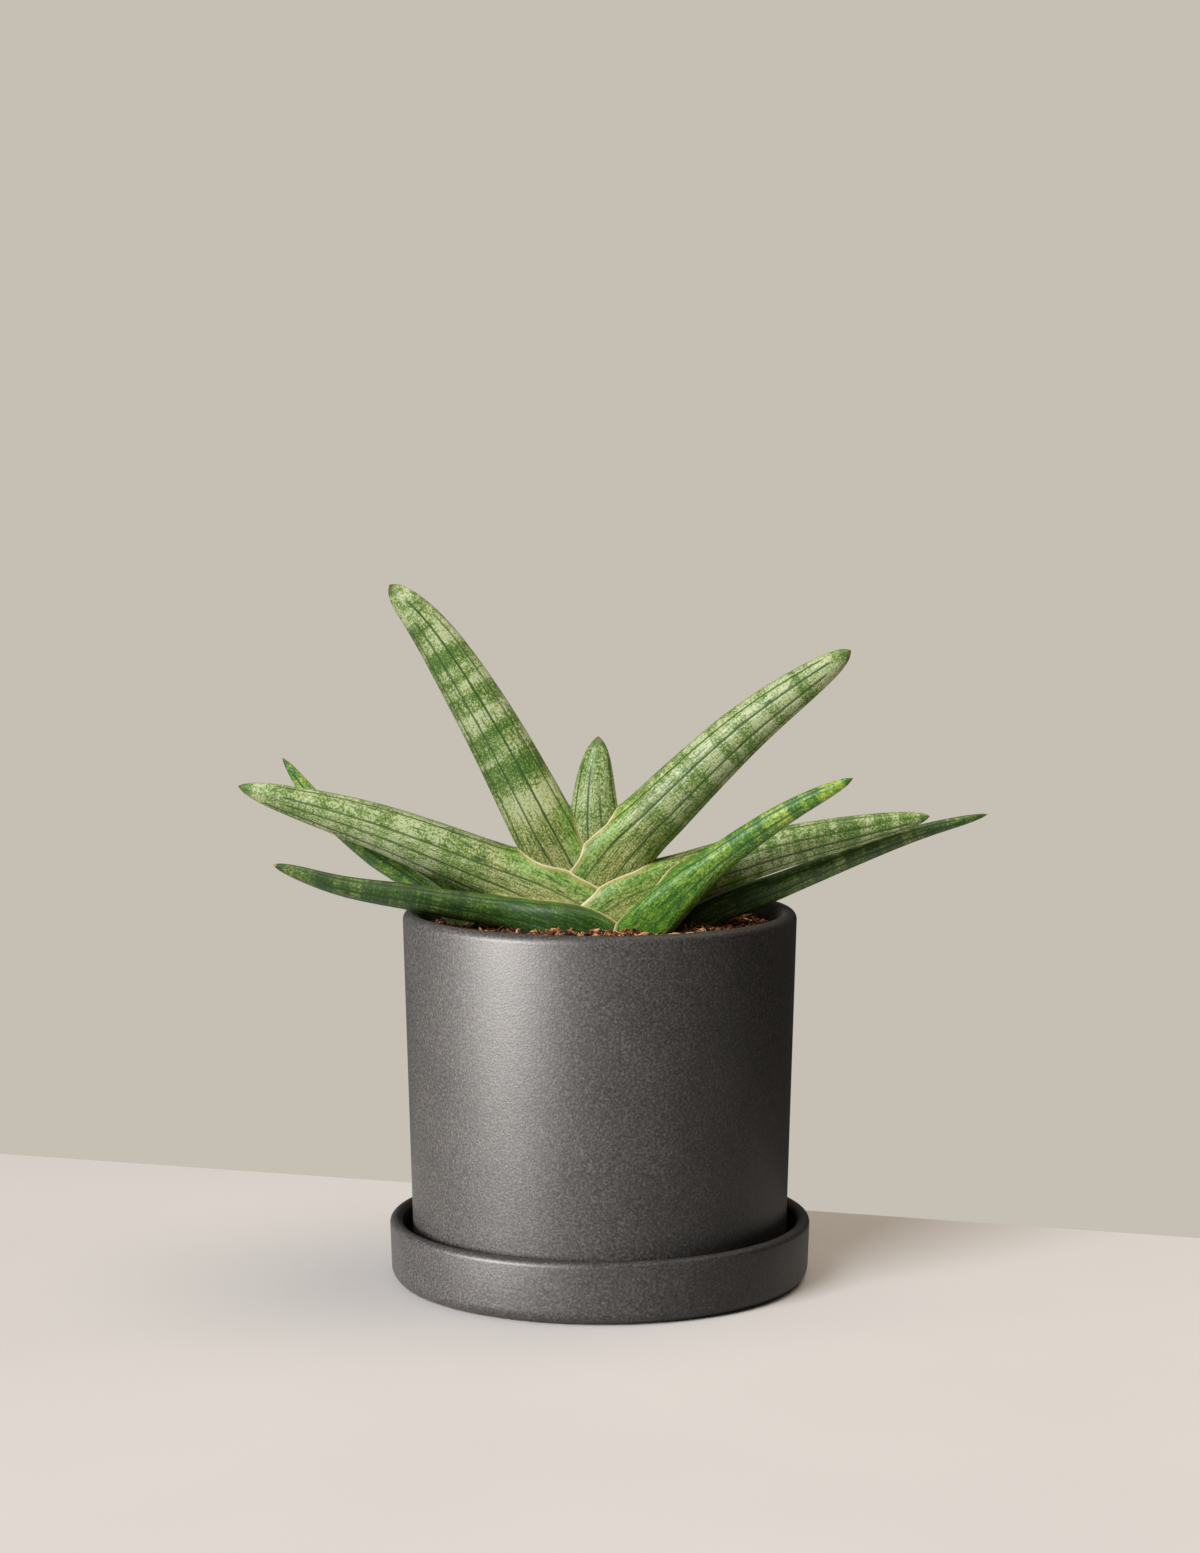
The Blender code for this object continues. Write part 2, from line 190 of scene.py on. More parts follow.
def select_where(obj: bpy.types.Object, kind: str, test: Callable) -> None:
    """In edit mode, selects only the vertices, edges or faces that pass a test.

    Args:
        obj: The object in edit mode.
        kind: VERT, EDGE or FACE.
        test: A function of one such element.
    """
    bpy.ops.mesh.select_mode(type=kind)
    bpy.ops.mesh.select_all(action="DESELECT")
    mesh = bmesh.from_edit_mesh(obj.data)
    elements = {"VERT": mesh.verts, "EDGE": mesh.edges, "FACE": mesh.faces}[kind]
    for element in elements:
        if test(element):
            element.select_set(True)
    mesh.select_flush_mode()
    bmesh.update_edit_mesh(obj.data)


def extrude_up(height: float, scale: float = 1.0) -> None:
    """Extrudes what is selected in edit mode, and scales the new end.

    Args:
        height: How far up, or down if it is negative.
        scale: The new end's width as a share of the old one.
    """
    bpy.ops.mesh.extrude_region_move(TRANSFORM_OT_translate={"value": (0, 0, height)})
    bpy.ops.transform.resize(value=(scale, scale, 1.0))


def leave_edit_mode() -> None:
    """Turns every face outwards and leaves edit mode."""
    bpy.ops.mesh.select_all(action="SELECT")
    bpy.ops.mesh.normals_make_consistent(inside=False)
    bpy.ops.object.mode_set(mode="OBJECT")


def take_out(obj: bpy.types.Object, forms: Sequence[bpy.types.Object]) -> None:
    """Takes some forms out of an object, and keeps the largest body that is left.

    Args:
        obj: The object that is cut.
        forms: The forms.
    """
    for form in forms:
        modifier = obj.modifiers.new(form.name, "BOOLEAN")
        modifier.operation = "DIFFERENCE"
        modifier.solver = "MANIFOLD"
        modifier.object = form
    select_only(obj)
    for modifier in list(obj.modifiers):
        bpy.ops.object.modifier_apply(modifier=modifier.name)
    work = bmesh.new()
    work.from_mesh(obj.data)
    unseen = set(work.verts)
    bodies = []
    while unseen:
        start = unseen.pop()
        body = {start}
        front = [start]
        while front:
            vertex = front.pop()
            for edge in vertex.link_edges:
                other = edge.other_vert(vertex)
                if other in unseen:
                    unseen.remove(other)
                    body.add(other)
                    front.append(other)
        bodies.append(body)
    bodies.sort(key=len)
    for body in bodies[:-1]:
        bmesh.ops.delete(work, geom=list(body), context="VERTS")
    work.to_mesh(obj.data)
    work.free()


def finish_piece(
    obj: bpy.types.Object,
    name: str,
    materials: Sequence[bpy.types.Material],
    node: Optional[str] = None,
    crease: Optional[float] = None,
) -> None:
    """Names a piece, dresses it and ties it to the frame.

    Args:
        obj: The finished object.
        name: Its name.
        materials: Its materials in order.
        node: The node that it stands for, if any.
        crease: The angle in degrees from which an edge looks sharp. Without it, every face looks flat.
    """
    if crease is not None:
        select_only(obj)
        bpy.ops.object.shade_smooth_by_angle(angle=math.radians(crease))
    obj.name = name
    obj.data.name = name
    obj.data.materials.clear()
    for material in materials:
        obj.data.materials.append(material)
    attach(obj, "root")
    if node is not None:
        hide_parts(node)
    LOG.info("%s: %d faces", name, len(obj.data.polygons))


@dataclass(frozen=True)
class Finish:
    """A surface: each kind of finish says what its shader is fed."""

    name: str

    def surface(self, tree: bpy.types.NodeTree) -> dict[str, object]:
        """The shader's inputs by name, with the nodes that feed them added to the tree."""
        raise NotImplementedError

    def build(self) -> bpy.types.Material:
        """Makes the material.

        Returns:
            The material.
        """
        material = bpy.data.materials.new(self.name)
        material.use_nodes = True
        tree = material.node_tree
        tree.nodes.clear()
        shader = add_node(tree, "ShaderNodeBsdfPrincipled", {}, self.surface(tree))
        add_node(tree, "ShaderNodeOutputMaterial", {}, (shader,))
        return material


@dataclass(frozen=True)
class LeafFinish(Finish):
    """Living snake plant leaf: a tough waxy skin with mottled bands, thin grooves and a pale thick margin.

    The wax gives a broad soft shine, the bands are clusters of fine dark specks that break at each groove,
    and the margin of the clasping base is cream with an orange inner tinge. Each set of shades runs from
    the palest speck to the darkest: on the free leaf, towards its base, and beside its margin.
    """

    slot: Slot
    skin: tuple[str, ...]
    base: tuple[str, ...]
    sheath: tuple[str, ...]
    groove: str
    tip: str
    cap: str = "#6b8448"
    margin: str = "#e4ddb0"
    margin_tinge: str = "#bfa35c"
    shade_stops: tuple[float, ...] = (0.24, 0.46, 0.66, 0.9)
    band_length: float = 8.0  # mm along the leaf
    band_strength: float = 0.42
    speck: float = 0.62  # mm
    speck_strength: float = 2.2
    bias: float = 0.5
    groove_width: float = 0.21  # mm to each side
    base_reach: float = 86.0  # mm up from the base that its shades reach
    roughness: float = 0.34
    roughness_spread: float = 0.18
    seed: float = 0.0
    grooves: int = 10

    def surface(self, tree: bpy.types.NodeTree) -> dict[str, object]:
        """Mixes the skin from the lengths that each leaf carries as attributes in millimetres.

        Args:
            tree: The material's tree.

        Returns:
            The shader's inputs by name.
        """
        uv = add_node(tree, "ShaderNodeUVMap", {"uv_map": UV_NAME})
        share_round = add_node(tree, "ShaderNodeSeparateXYZ", {}, (uv,))
        from_tip, along, girth, to_groove, rim = (
            add_node(tree, "ShaderNodeAttribute", {"attribute_name": key}, output="Fac")
            for key in ("from_tip", "from_base", "girth", "to_groove", "rim"))
        strips = add_node(tree, *MULTIPLY, (share_round, self.grooves))
        strip, in_strip, groove_number = (
            add_node(tree, "ShaderNodeMath", {"operation": way}, (strips,))
            for way in ("FLOOR", "FRACT", "ROUND"))
        strip_width = add_node(tree, *MULTIPLY, (girth, 1 / self.grooves))
        across = add_node(tree, *MULTIPLY, (in_strip, strip_width))
        strip_seed = add_node(tree, *MULTIPLY_ADD, (strip, 17.3, self.seed))
        # By chance, each groove starts 5 to 21 mm from the tip and is more or less bold
        chance = add_node(tree, "ShaderNodeTexWhiteNoise", {"noise_dimensions": "2D"},
                          (add_node(tree, "ShaderNodeCombineXYZ", {}, (groove_number, self.seed)),))
        start = add_node(tree, *MULTIPLY_ADD, (chance, 16.0, 5.0))
        past_start = add_node(tree, *SUBTRACT, (from_tip, start))
        boldness = add_node(tree, *MULTIPLY_ADD, (chance, -0.25, 1.0))
        # Noises, in millimetres: specks, cross bands that shift a little from strip to strip, and streaks
        band_lean = add_node(tree, *MULTIPLY, (across, 0.04))
        noises = {}
        for key, x, y, z, detail, rough in (
            ("speck", (across, 1 / self.speck, 0.0), 0.8 / self.speck, strip_seed, 3.0, 0.65),
            ("band", (strip, 0.13, band_lean), 1 / self.band_length, self.seed + 3.7, 3.0, 0.6),
            ("streak", (across, 1.7, 0.0), 0.14, strip_seed, 2.0, 0.5),
        ):
            place = add_node(tree, "ShaderNodeCombineXYZ", {}, (
                add_node(tree, *MULTIPLY_ADD, x), add_node(tree, *MULTIPLY, (along, y)), z))
            noises[key] = add_node(tree, "ShaderNodeTexNoise", {},
                                   {"Vector": place, "Scale": 1.0, "Detail": detail, "Roughness": rough})
        # Ranges: what each reads, where it is at its low and at its high value, and those values
        ranges = {}
        for key, *limits in (
            ("near_base", along, self.base_reach, self.base_reach * 0.55, 0.0, 1.0),
            ("bands", noises["band"], 0.36, 0.64, -0.5 * self.band_strength, 0.5 * self.band_strength),
            ("near_tip", from_tip, 5.0, 1.5, 0.0, 0.35),
            ("near_rim", rim, 11.0, 2.0, 0.0, 0.9),
            ("line", to_groove, self.groove_width * 2.6, self.groove_width, 0.0, 1.0),
            ("shown", past_start, 0.0, 3.0, 0.0, 1.0),
            ("line_up", along, 26.0, 60.0, 0.55, 0.95),
            ("dash", noises["streak"], 0.6, 0.68, 0.0, 0.75),
            ("dash_down", from_tip, 22.0, 60.0, 0.1, 1.0),
            ("low", along, 84.0, 52.0, 0.1, 1.0),
            ("tinge", rim, 2.2, 0.8, 0.0, 0.6),
            ("edge", rim, 0.85, 0.3, 0.0, 0.85),
            ("cap", from_tip, 3.0, 1.2, 0.0, 0.6),
            ("apex", from_tip, 1.5, 0.6, 0.0, 0.9),
        ):
            ranges[key] = add_node(tree, "ShaderNodeMapRange", {"interpolation_type": "SMOOTHSTEP"}, limits)
        for key, factor in (
            ("line", ranges["shown"]), ("line", ranges["line_up"]), ("line", boldness),
            ("dash", ranges["dash_down"]), ("tinge", ranges["low"]), ("edge", ranges["low"]),
        ):
            ranges[key] = add_node(tree, *MULTIPLY, (ranges[key], factor))
        # Darkness: what the specks, bands and streaks add up to. Bands fade and streaks grow to the base
        near_base = ranges["near_base"]
        darkness = add_node(tree, *ADD, (ranges["near_tip"], self.bias))
        for value, middle, amount in (
            (ranges["bands"], 0.0, add_node(tree, *MULTIPLY_ADD, (near_base, -0.7, 1.0))),
            (noises["speck"], 0.5, self.speck_strength),
            (noises["streak"], 0.5, add_node(tree, *MULTIPLY_ADD, (near_base, 0.6, 0.5))),
        ):
            centred = add_node(tree, *SUBTRACT, (value, middle))
            darkness = add_node(tree, *MULTIPLY_ADD, (centred, amount, darkness))
        skin, base, sheath = (
            add_node(tree, "ShaderNodeValToRGB", {}, (darkness,), stops=tuple(zip(self.shade_stops, shades)))
            for shades in (self.skin, self.base, self.sheath))
        # Layers, from the skin up: base, sheath, dashes, grooves, the margin's tinge and edge, and the tip
        colour = skin
        for key, layer in (
            ("near_base", base), ("near_rim", sheath), ("dash", self.groove), ("line", self.groove),
            ("tinge", self.margin_tinge), ("edge", self.margin), ("cap", self.cap), ("apex", self.tip),
        ):
            layer = linear(layer) if isinstance(layer, str) else layer
            colour = add_node(tree, "ShaderNodeMix", {"data_type": "RGBA"},
                              {0: ranges[key], 6: colour, 7: layer}, output=2)
        roughness = add_node(tree, *MULTIPLY_ADD, (noises["speck"], self.roughness_spread, self.roughness))
        relief = add_node(tree, *ADD, (noises["speck"], noises["streak"]))
        bump = add_node(tree, "ShaderNodeBump", {},
                        {"Strength": 0.35, "Distance": 0.12 * MM, "Height": relief})
        return {"Base Color": colour, "Roughness": roughness, "Normal": bump, "IOR": 1.45,
                "Subsurface Weight": 0.06, "Subsurface Scale": 2 * MM,
                "Sheen Weight": 0.06, "Sheen Roughness": 0.4}


@dataclass(frozen=True)
class SheathFinish(Finish):
    """Inner face of a clasping leaf base: smooth, pale and moist, which reads as cream going to green, in
    soft patches a few millimetres wide."""

    name: str = "pale inner leaf sheath"
    cream: str = "#e6dca9"
    green: str = "#a9bd74"

    def surface(self, tree: bpy.types.NodeTree) -> dict[str, object]:
        """Mixes the patches.

        Args:
            tree: The material's tree.

        Returns:
            The shader's inputs by name.
        """
        place = add_node(tree, "ShaderNodeTexCoord", output="Object")
        patch = add_node(tree, "ShaderNodeTexNoise", {}, {"Vector": place, "Scale": 300.0, "Detail": 2.0})
        colour = add_node(tree, "ShaderNodeValToRGB", {}, (patch,),
                          stops=((0.35, self.cream), (0.7, self.green)))
        return {"Base Color": colour, "Roughness": 0.5}


@dataclass(frozen=True)
class GlazeFinish(Finish):
    """Charcoal satin glaze on stoneware: iron specks a third of a millimetre wide, drawn slightly coarser
    to show, give it a fine light and dark grain, and its weak soft shine comes from a pebbled surface.
    The foot that touches the table is bare clay, lighter and dull."""

    bare_below: float
    body: str = "#201f1e"
    light: str = "#353332"
    dark: str = "#121111"
    clay: str = "#8d7c6a"
    clay_roughness: float = 0.85
    roughness: float = 0.39
    roughness_spread: float = 0.16
    grain: float = 0.8  # mm
    cloud_scale: float = 55.0  # to the metre
    cloud_strength: float = 0.12

    def surface(self, tree: bpy.types.NodeTree) -> dict[str, object]:
        """Mixes the glaze, and the bare clay below a height.

        Args:
            tree: The material's tree.

        Returns:
            The shader's inputs by name.
        """
        place = add_node(tree, "ShaderNodeTexCoord", output="Object")
        fineness = 1.0 / (self.grain * MM)
        grain = add_node(tree, "ShaderNodeTexNoise", {},
                         {"Vector": place, "Scale": fineness, "Detail": 3.0, "Roughness": 0.6})
        cloud = add_node(tree, "ShaderNodeTexNoise", {},
                         {"Vector": place, "Scale": self.cloud_scale, "Detail": 3.0})
        drift = add_node(tree, *MULTIPLY_ADD, (cloud, self.cloud_strength, -self.cloud_strength / 2))
        tone = add_node(tree, *ADD, (grain, drift))
        glaze = add_node(tree, "ShaderNodeValToRGB", {}, (tone,),
                         stops=((0.3, self.dark), (0.5, self.body), (0.72, self.light)))
        height = add_node(tree, "ShaderNodeSeparateXYZ", {}, (place,), output=2)
        bare = add_node(tree, "ShaderNodeMath", {"operation": "LESS_THAN"}, (height, self.bare_below))
        colour = add_node(tree, "ShaderNodeMix", {"data_type": "RGBA"},
                          {0: bare, 6: glaze, 7: linear(self.clay)}, output=2)
        satin = add_node(tree, *MULTIPLY_ADD, (grain, self.roughness_spread, self.roughness))
        roughness = add_node(tree, "ShaderNodeMix", {"data_type": "FLOAT"},
                             {0: bare, 2: satin, 3: self.clay_roughness})
        bump = add_node(tree, "ShaderNodeBump", {}, {"Strength": 0.45, "Distance": 0.2 * MM, "Height": grain})
        return {"Base Color": colour, "Roughness": roughness, "Normal": bump, "IOR": 1.5,
                "Specular IOR Level": 0.28}


@dataclass(frozen=True)
class MixFinish(Finish):
    """Bark and coir potting mix: dull, fibrous and damp, so each small piece has its own brown, with a
    fine grain in it."""

    shades: tuple[tuple[float, str], ...]
    roughness: float = 0.88
    grain: float = 0.6  # mm
    grain_strength: float = 0.4
    by_piece: bool = True

    def surface(self, tree: bpy.types.NodeTree) -> dict[str, object]:
        """Mixes the browns. The shade of each small piece is an attribute of its mesh.

        Args:
            tree: The material's tree.

        Returns:
            The shader's inputs by name.
        """
        place = add_node(tree, "ShaderNodeTexCoord", output="Object")
        fineness = 1.0 / (self.grain * MM)
        grain = add_node(tree, "ShaderNodeTexNoise", {},
                         {"Vector": place, "Scale": fineness, "Detail": 3.0, "Roughness": 0.65})
        tone = grain
        if self.by_piece:
            shade = add_node(tree, "ShaderNodeAttribute", {"attribute_name": "shade"}, output="Fac")
            drift = add_node(tree, *MULTIPLY_ADD, (grain, self.grain_strength, -self.grain_strength / 2))
            tone = add_node(tree, *ADD, (shade, drift))
        colour = add_node(tree, "ShaderNodeValToRGB", {}, (tone,), stops=self.shades)
        bump = add_node(tree, "ShaderNodeBump", {}, {"Strength": 0.6, "Distance": 0.3 * MM, "Height": grain})
        return {"Base Color": colour, "Roughness": self.roughness, "Normal": bump}


@dataclass(frozen=True)
class TableFinish(Finish):
    """Pale painted table top: matte, with tones too close to tell apart over a hand's width."""

    colours: tuple[str, str] = ("#dad6d1", "#dedad5")

    def surface(self, tree: bpy.types.NodeTree) -> dict[str, object]:
        """Mixes the tones.

        Args:
            tree: The material's tree.

        Returns:
            The shader's inputs by name.
        """
        place = add_node(tree, "ShaderNodeTexCoord", output="Object")
        patch = add_node(tree, "ShaderNodeTexNoise", {}, {"Vector": place, "Scale": 6.0, "Detail": 2.0})
        colour = add_node(tree, "ShaderNodeValToRGB", {}, (patch,),
                          stops=tuple(zip((0.3, 0.7), self.colours)))
        return {"Base Color": colour, "Roughness": 0.75}


PALE = LeafFinish(
    "pale mottled snake plant leaf", Slot.PALE_LEAF, skin=("#c2cd9d", "#97aa64", "#678638", "#466b27"),
    base=("#cac98e", "#a1a65a", "#7a893d", "#546729"), sheath=("#a5c565", "#85ae4b", "#69963a", "#4d792b"),
    groove="#36541f", tip="#7a4a30")
VIVID = LeafFinish(
    "vivid young snake plant leaf", Slot.DARK_LEAF, skin=("#c0cf5e", "#8aac3e", "#538627", "#346621"),
    base=("#a5c050", "#729e34", "#4e8526", "#33651f"), sheath=("#9fbe4a", "#739f34", "#538527", "#3c6b20"),
    groove="#265438", tip="#8a3524", cap="#3c6a34", band_length=5.0, bias=0.6, speck_strength=1.8)
DEEP = LeafFinish(
    "deep green snake plant leaf", Slot.DARK_LEAF, skin=("#a3b066", "#667f3a", "#466428", "#2e4b1c"),
    base=("#7c9942", "#50752b", "#3a5d22", "#294618"), sheath=("#8aaa46", "#608b2f", "#487324", "#33591c"),
    groove="#23401c", tip="#b8a23a", cap="#3a5a2c", band_length=4.5, bias=0.66, speck_strength=1.6)


@dataclass(frozen=True)
class SnakeLeaf:
    """One leaf: a fleshy, grooved, tapering rod on a broad base that clasps the leaves inside it.

    Lengths are in millimetres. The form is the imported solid's own, made finely.
    """

    name: str
    side: Side
    path: tuple[tuple[float, float, float], ...]
    half_width: float
    taper: float
    fineness: float
    sheath_half_width: float
    sheath_half_depth: float
    finish: LeafFinish
    seed: int
    grooves: int = 10
    roll: float = 0.0
    rows: int = 190
    columns_per_strip: int = 12
    tip_point: float = 0.9
    sheath_start: float = 32.0
    sheath_end: float = 66.0
    sheath_squareness: float = 5.0
    roundness: float = 0.92
    groove_depth: float = 0.3
    groove_tip_free: float = 8.0
    groove_fade_in: float = 14.0
    groove_loss_at_base: float = 0.7
    groove_unevenness: float = 0.2
    groove_profile: tuple[tuple[float, float], ...] = ((0.6, 0.5), (0.4, 1.6))  # share of depth, half width
    channel_depth: float = 0.10
    channel_mouth: float = 0.34
    channel_width: float = 0.62
    crowding: float = 0.5
    path_steps: int = 40
    cutter_growth: float = 0.12
    cutter_drop: float = 3.0
    cutter_rows: int = 120
    cutter_columns_per_strip: int = 7
    margin_step: float = 0.25
    margin_reach: float = 4.0
    margin_swell: float = 0.38
    margin_width: float = 1.1
    far_from_margin: float = 40.0
    crease: float = 42.0  # degrees

    def centre_line(self) -> tuple[np.ndarray, np.ndarray]:
        """A smooth curve through the path's points.

        Returns:
            Many points along it, and the length up to each.
        """
        knots = np.array(self.path, float)
        knots = np.vstack([2 * knots[0] - knots[1], knots, 2 * knots[-1] - knots[-2]])
        times = np.concatenate([[0.0], np.cumsum(np.sqrt(np.linalg.norm(np.diff(knots, axis=0), axis=1)))])
        points = []
        for i in range(1, len(knots) - 2):
            t0, t1, t2, t3 = times[i - 1:i + 3]
            t = np.linspace(t1, t2, self.path_steps, endpoint=False)[:, None]
            a1 = (t1 - t) / (t1 - t0) * knots[i - 1] + (t - t0) / (t1 - t0) * knots[i]
            a2 = (t2 - t) / (t2 - t1) * knots[i] + (t - t1) / (t2 - t1) * knots[i + 1]
            a3 = (t3 - t) / (t3 - t2) * knots[i + 1] + (t - t2) / (t3 - t2) * knots[i + 2]
            b1 = (t2 - t) / (t2 - t0) * a1 + (t - t0) / (t2 - t0) * a2
            b2 = (t3 - t) / (t3 - t1) * a2 + (t - t1) / (t3 - t1) * a3
            points.append((t2 - t) / (t2 - t1) * b1 + (t - t1) / (t2 - t1) * b2)
        points = np.vstack(points + [knots[-2:-1]])
        steps = np.linalg.norm(np.diff(points, axis=0), axis=1)
        return points, np.concatenate([[0.0], np.cumsum(steps)])

    def heights(self, rows: int) -> np.ndarray:
        """Spaces the rows, closer together at both ends of the leaf.

        Args:
            rows: Faces along the leaf.

        Returns:
            Each row's distance from the base.
        """
        length = self.centre_line()[1][-1]
        share = np.arange(rows + 1) / rows
        crowded = (1 - np.cos(math.pi * share)) / 2
        return (share + self.crowding * (crowded - share)) * length

    def directions(self, from_base: np.ndarray) -> tuple[np.ndarray, ...]:
        """Finds how the leaf stands at some heights.

        Args:
            from_base: The heights' distances from the base.

        Returns:
            The centres, and the directions up the leaf, towards its channel and sideways.
        """
        points, lengths = self.centre_line()
        centres = np.stack([np.interp(from_base, lengths, points[:, k]) for k in range(3)], axis=1)
        tangents = np.gradient(points, lengths, axis=0)
        up = np.stack([np.interp(from_base, lengths, tangents[:, k]) for k in range(3)], axis=1)
        up[from_base <= 0.0] = (0.0, 0.0, 1.0)
        up /= np.linalg.norm(up, axis=1)[:, None]
        back = np.array([0.0, 1.0, 0.0])
        sideways = back - up * (up @ back)[:, None]
        sideways /= np.linalg.norm(sideways, axis=1)[:, None]
        channel = -self.side.value * np.cross(sideways, up)
        turned = math.radians(self.roll) * smoothstep(from_base / self.sheath_start)[:, None]
        rolled = channel * np.cos(turned) - sideways * np.sin(turned)
        return centres, up, rolled, sideways * np.cos(turned) + channel * np.sin(turned)

    def sizes(self, from_tip: np.ndarray, from_base: np.ndarray) -> tuple[np.ndarray, ...]:
        """Finds the leaf's outline at some heights.

        Args:
            from_tip: The heights' distances from the tip.
            from_base: Their distances from the base.

        Returns:
            The half widths, half depths, squareness and shares of the sheath.
        """
        narrowing = np.minimum(from_tip / self.taper, 1.0) ** self.fineness
        free = self.half_width * narrowing * from_tip / (from_tip + self.tip_point)
        sheath = 1.0 - smoothstep((from_base - self.sheath_start) / (self.sheath_end - self.sheath_start))
        half_width = free + (self.sheath_half_width - free) * sheath
        depth = free * self.roundness
        half_depth = depth + (self.sheath_half_depth - depth) * sheath
        return half_width, half_depth, 2.0 + (self.sheath_squareness - 2.0) * sheath, sheath

    def angles(self, columns: int) -> np.ndarray:
        """Places the columns round the leaf; the grooves that they follow are unevenly spaced.

        Args:
            columns: Faces round the leaf.

        Returns:
            Each column's angle from the channel.
        """
        draw = np.random.default_rng(self.seed)
        strips = np.arange(self.grooves + 1) + 0.0
        strips[1:-1] += draw.uniform(-self.groove_unevenness, self.groove_unevenness, self.grooves - 1)
        return 2 * math.pi * np.interp(np.arange(columns + 1) / columns * self.grooves,
                                       np.arange(self.grooves + 1), strips) / self.grooves

    def surface(self, rows: int, columns: int, grow: float = 0.0) -> np.ndarray:
        """The leaf's points in millimetres, base to tip and round from the channel.

        Args:
            rows: Faces along the leaf.
            columns: Faces round the leaf.
            grow: How far the form is swollen. A swollen form has no grooves.

        Returns:
            An array of rows + 1 by columns + 1 points. Its last row is the tip.
        """
        from_base = self.heights(rows)
        length = from_base[-1]
        from_tip = length - from_base
        centres, up, channel, sideways = self.directions(from_base)
        half_width, half_depth, squareness, sheath = self.sizes(from_tip, from_base)
        angle = self.angles(columns)
        cosine = np.cos(angle)[None, :]
        sine = np.sin(angle)[None, :]
        power = squareness[:, None]
        outline = (np.abs(cosine) ** power + np.abs(sine) ** power) ** (-1 / power)
        mouth = self.channel_depth + (self.channel_mouth - self.channel_depth) * sheath
        from_channel = np.minimum(angle, 2 * math.pi - angle) / self.channel_width
        dip = smoothstep((from_tip - self.tip_point) / self.taper)[:, None] * mouth[:, None]
        outline = outline * (1 - dip * np.exp(-from_channel ** 2)[None, :])
        inset = np.full((rows + 1, columns + 1), grow)
        if not grow:
            in_strip = np.arange(columns + 1) / columns * self.grooves
            share = np.abs(in_strip - np.round(in_strip))[None, :]
            strip_width = math.pi * (half_width + half_depth) / self.grooves
            away = share * strip_width[:, None]
            depth = smoothstep((from_tip - self.groove_tip_free) / self.groove_fade_in)
            depth = depth * (1 - self.groove_loss_at_base * sheath)
            notch = sum(part * np.exp(-(away / width) ** 2) for part, width in self.groove_profile)
            inset = inset - self.groove_depth * depth[:, None] * notch
        across = (half_width[:, None] * outline + inset) * cosine
        deep = (half_depth[:, None] * outline + inset) * sine
        surface = centres[:, None, :] + across[..., None] * channel[:, None, :]
        surface = surface + deep[..., None] * sideways[:, None, :]
        surface[-1] = centres[-1] + up[-1] * grow
        return surface

    def tube(self, rows: int, columns: int, grow: float = 0.0) -> bpy.types.Object:
        """Rolls a flat grid up into the leaf's form and closes it.

        Args:
            rows: Faces along the leaf.
            columns: Faces round the leaf.
            grow: How far the form is swollen. A swollen form is a cutter: its U coordinates are moved by
                INNER_U and its base is lowered.

        Returns:
            The closed object.
        """
        obj = add_primitive(bpy.ops.mesh.primitive_grid_add, x_subdivisions=columns, y_subdivisions=rows,
                            size=1.0)
        mesh = obj.data
        flat = np.empty(len(mesh.vertices) * 3, np.float32)
        mesh.vertices.foreach_get("co", flat)
        flat = flat.reshape(-1, 3)
        column = np.rint((flat[:, 0] + 0.5) * columns).astype(int)
        row = np.rint((flat[:, 1] + 0.5) * rows).astype(int)
        surface = self.surface(rows, columns, grow)
        if grow:
            surface[0] -= (0.0, 0.0, self.cutter_drop)
        mesh.vertices.foreach_set("co", (surface[row, column] * MM).astype(np.float32).ravel())
        coordinates = np.empty(len(mesh.loops) * 2, np.float32)
        layer = mesh.uv_layers[0]
        layer.name = UV_NAME
        layer.data.foreach_get("uv", coordinates)
        if grow:
            coordinates[::2] += INNER_U
            layer.data.foreach_set("uv", coordinates)
        bpy.ops.object.mode_set(mode="EDIT")
        bpy.ops.mesh.select_mode(type="VERT")
        bpy.ops.mesh.select_all(action="SELECT")
        bpy.ops.mesh.remove_doubles(threshold=1e-6)
        bpy.ops.mesh.select_all(action="DESELECT")
        bpy.ops.mesh.select_non_manifold()
        bpy.ops.mesh.edge_face_add()
        leave_edit_mode()
        return obj

    def cutter(self) -> bpy.types.Object:
        """The leaf's form without grooves, a hair larger, to take out of what clasps it."""
        return self.tube(self.cutter_rows, self.grooves * self.cutter_columns_per_strip, self.cutter_growth)

    def blade(self, cutters: Sequence[bpy.types.Object], inside: bpy.types.Material) -> bpy.types.Object:
        """The leaf with the leaves inside it taken out of its base.

        Args:
            cutters: The forms of the leaves that it clasps.
            inside: The material of the faces that they leave.

        Returns:
            The finished object.
        """
        obj = self.tube(self.rows, self.grooves * self.columns_per_strip)
        take_out(obj, cutters)
        self.measure(obj)
        skin = replace(self.finish, name=self.name.replace("_", " ") + " leaf skin", grooves=self.grooves)
        finish_piece(obj, self.name + "_blade", (skin.build(), inside),
                     "leaf_" + self.name, self.crease)
        return obj

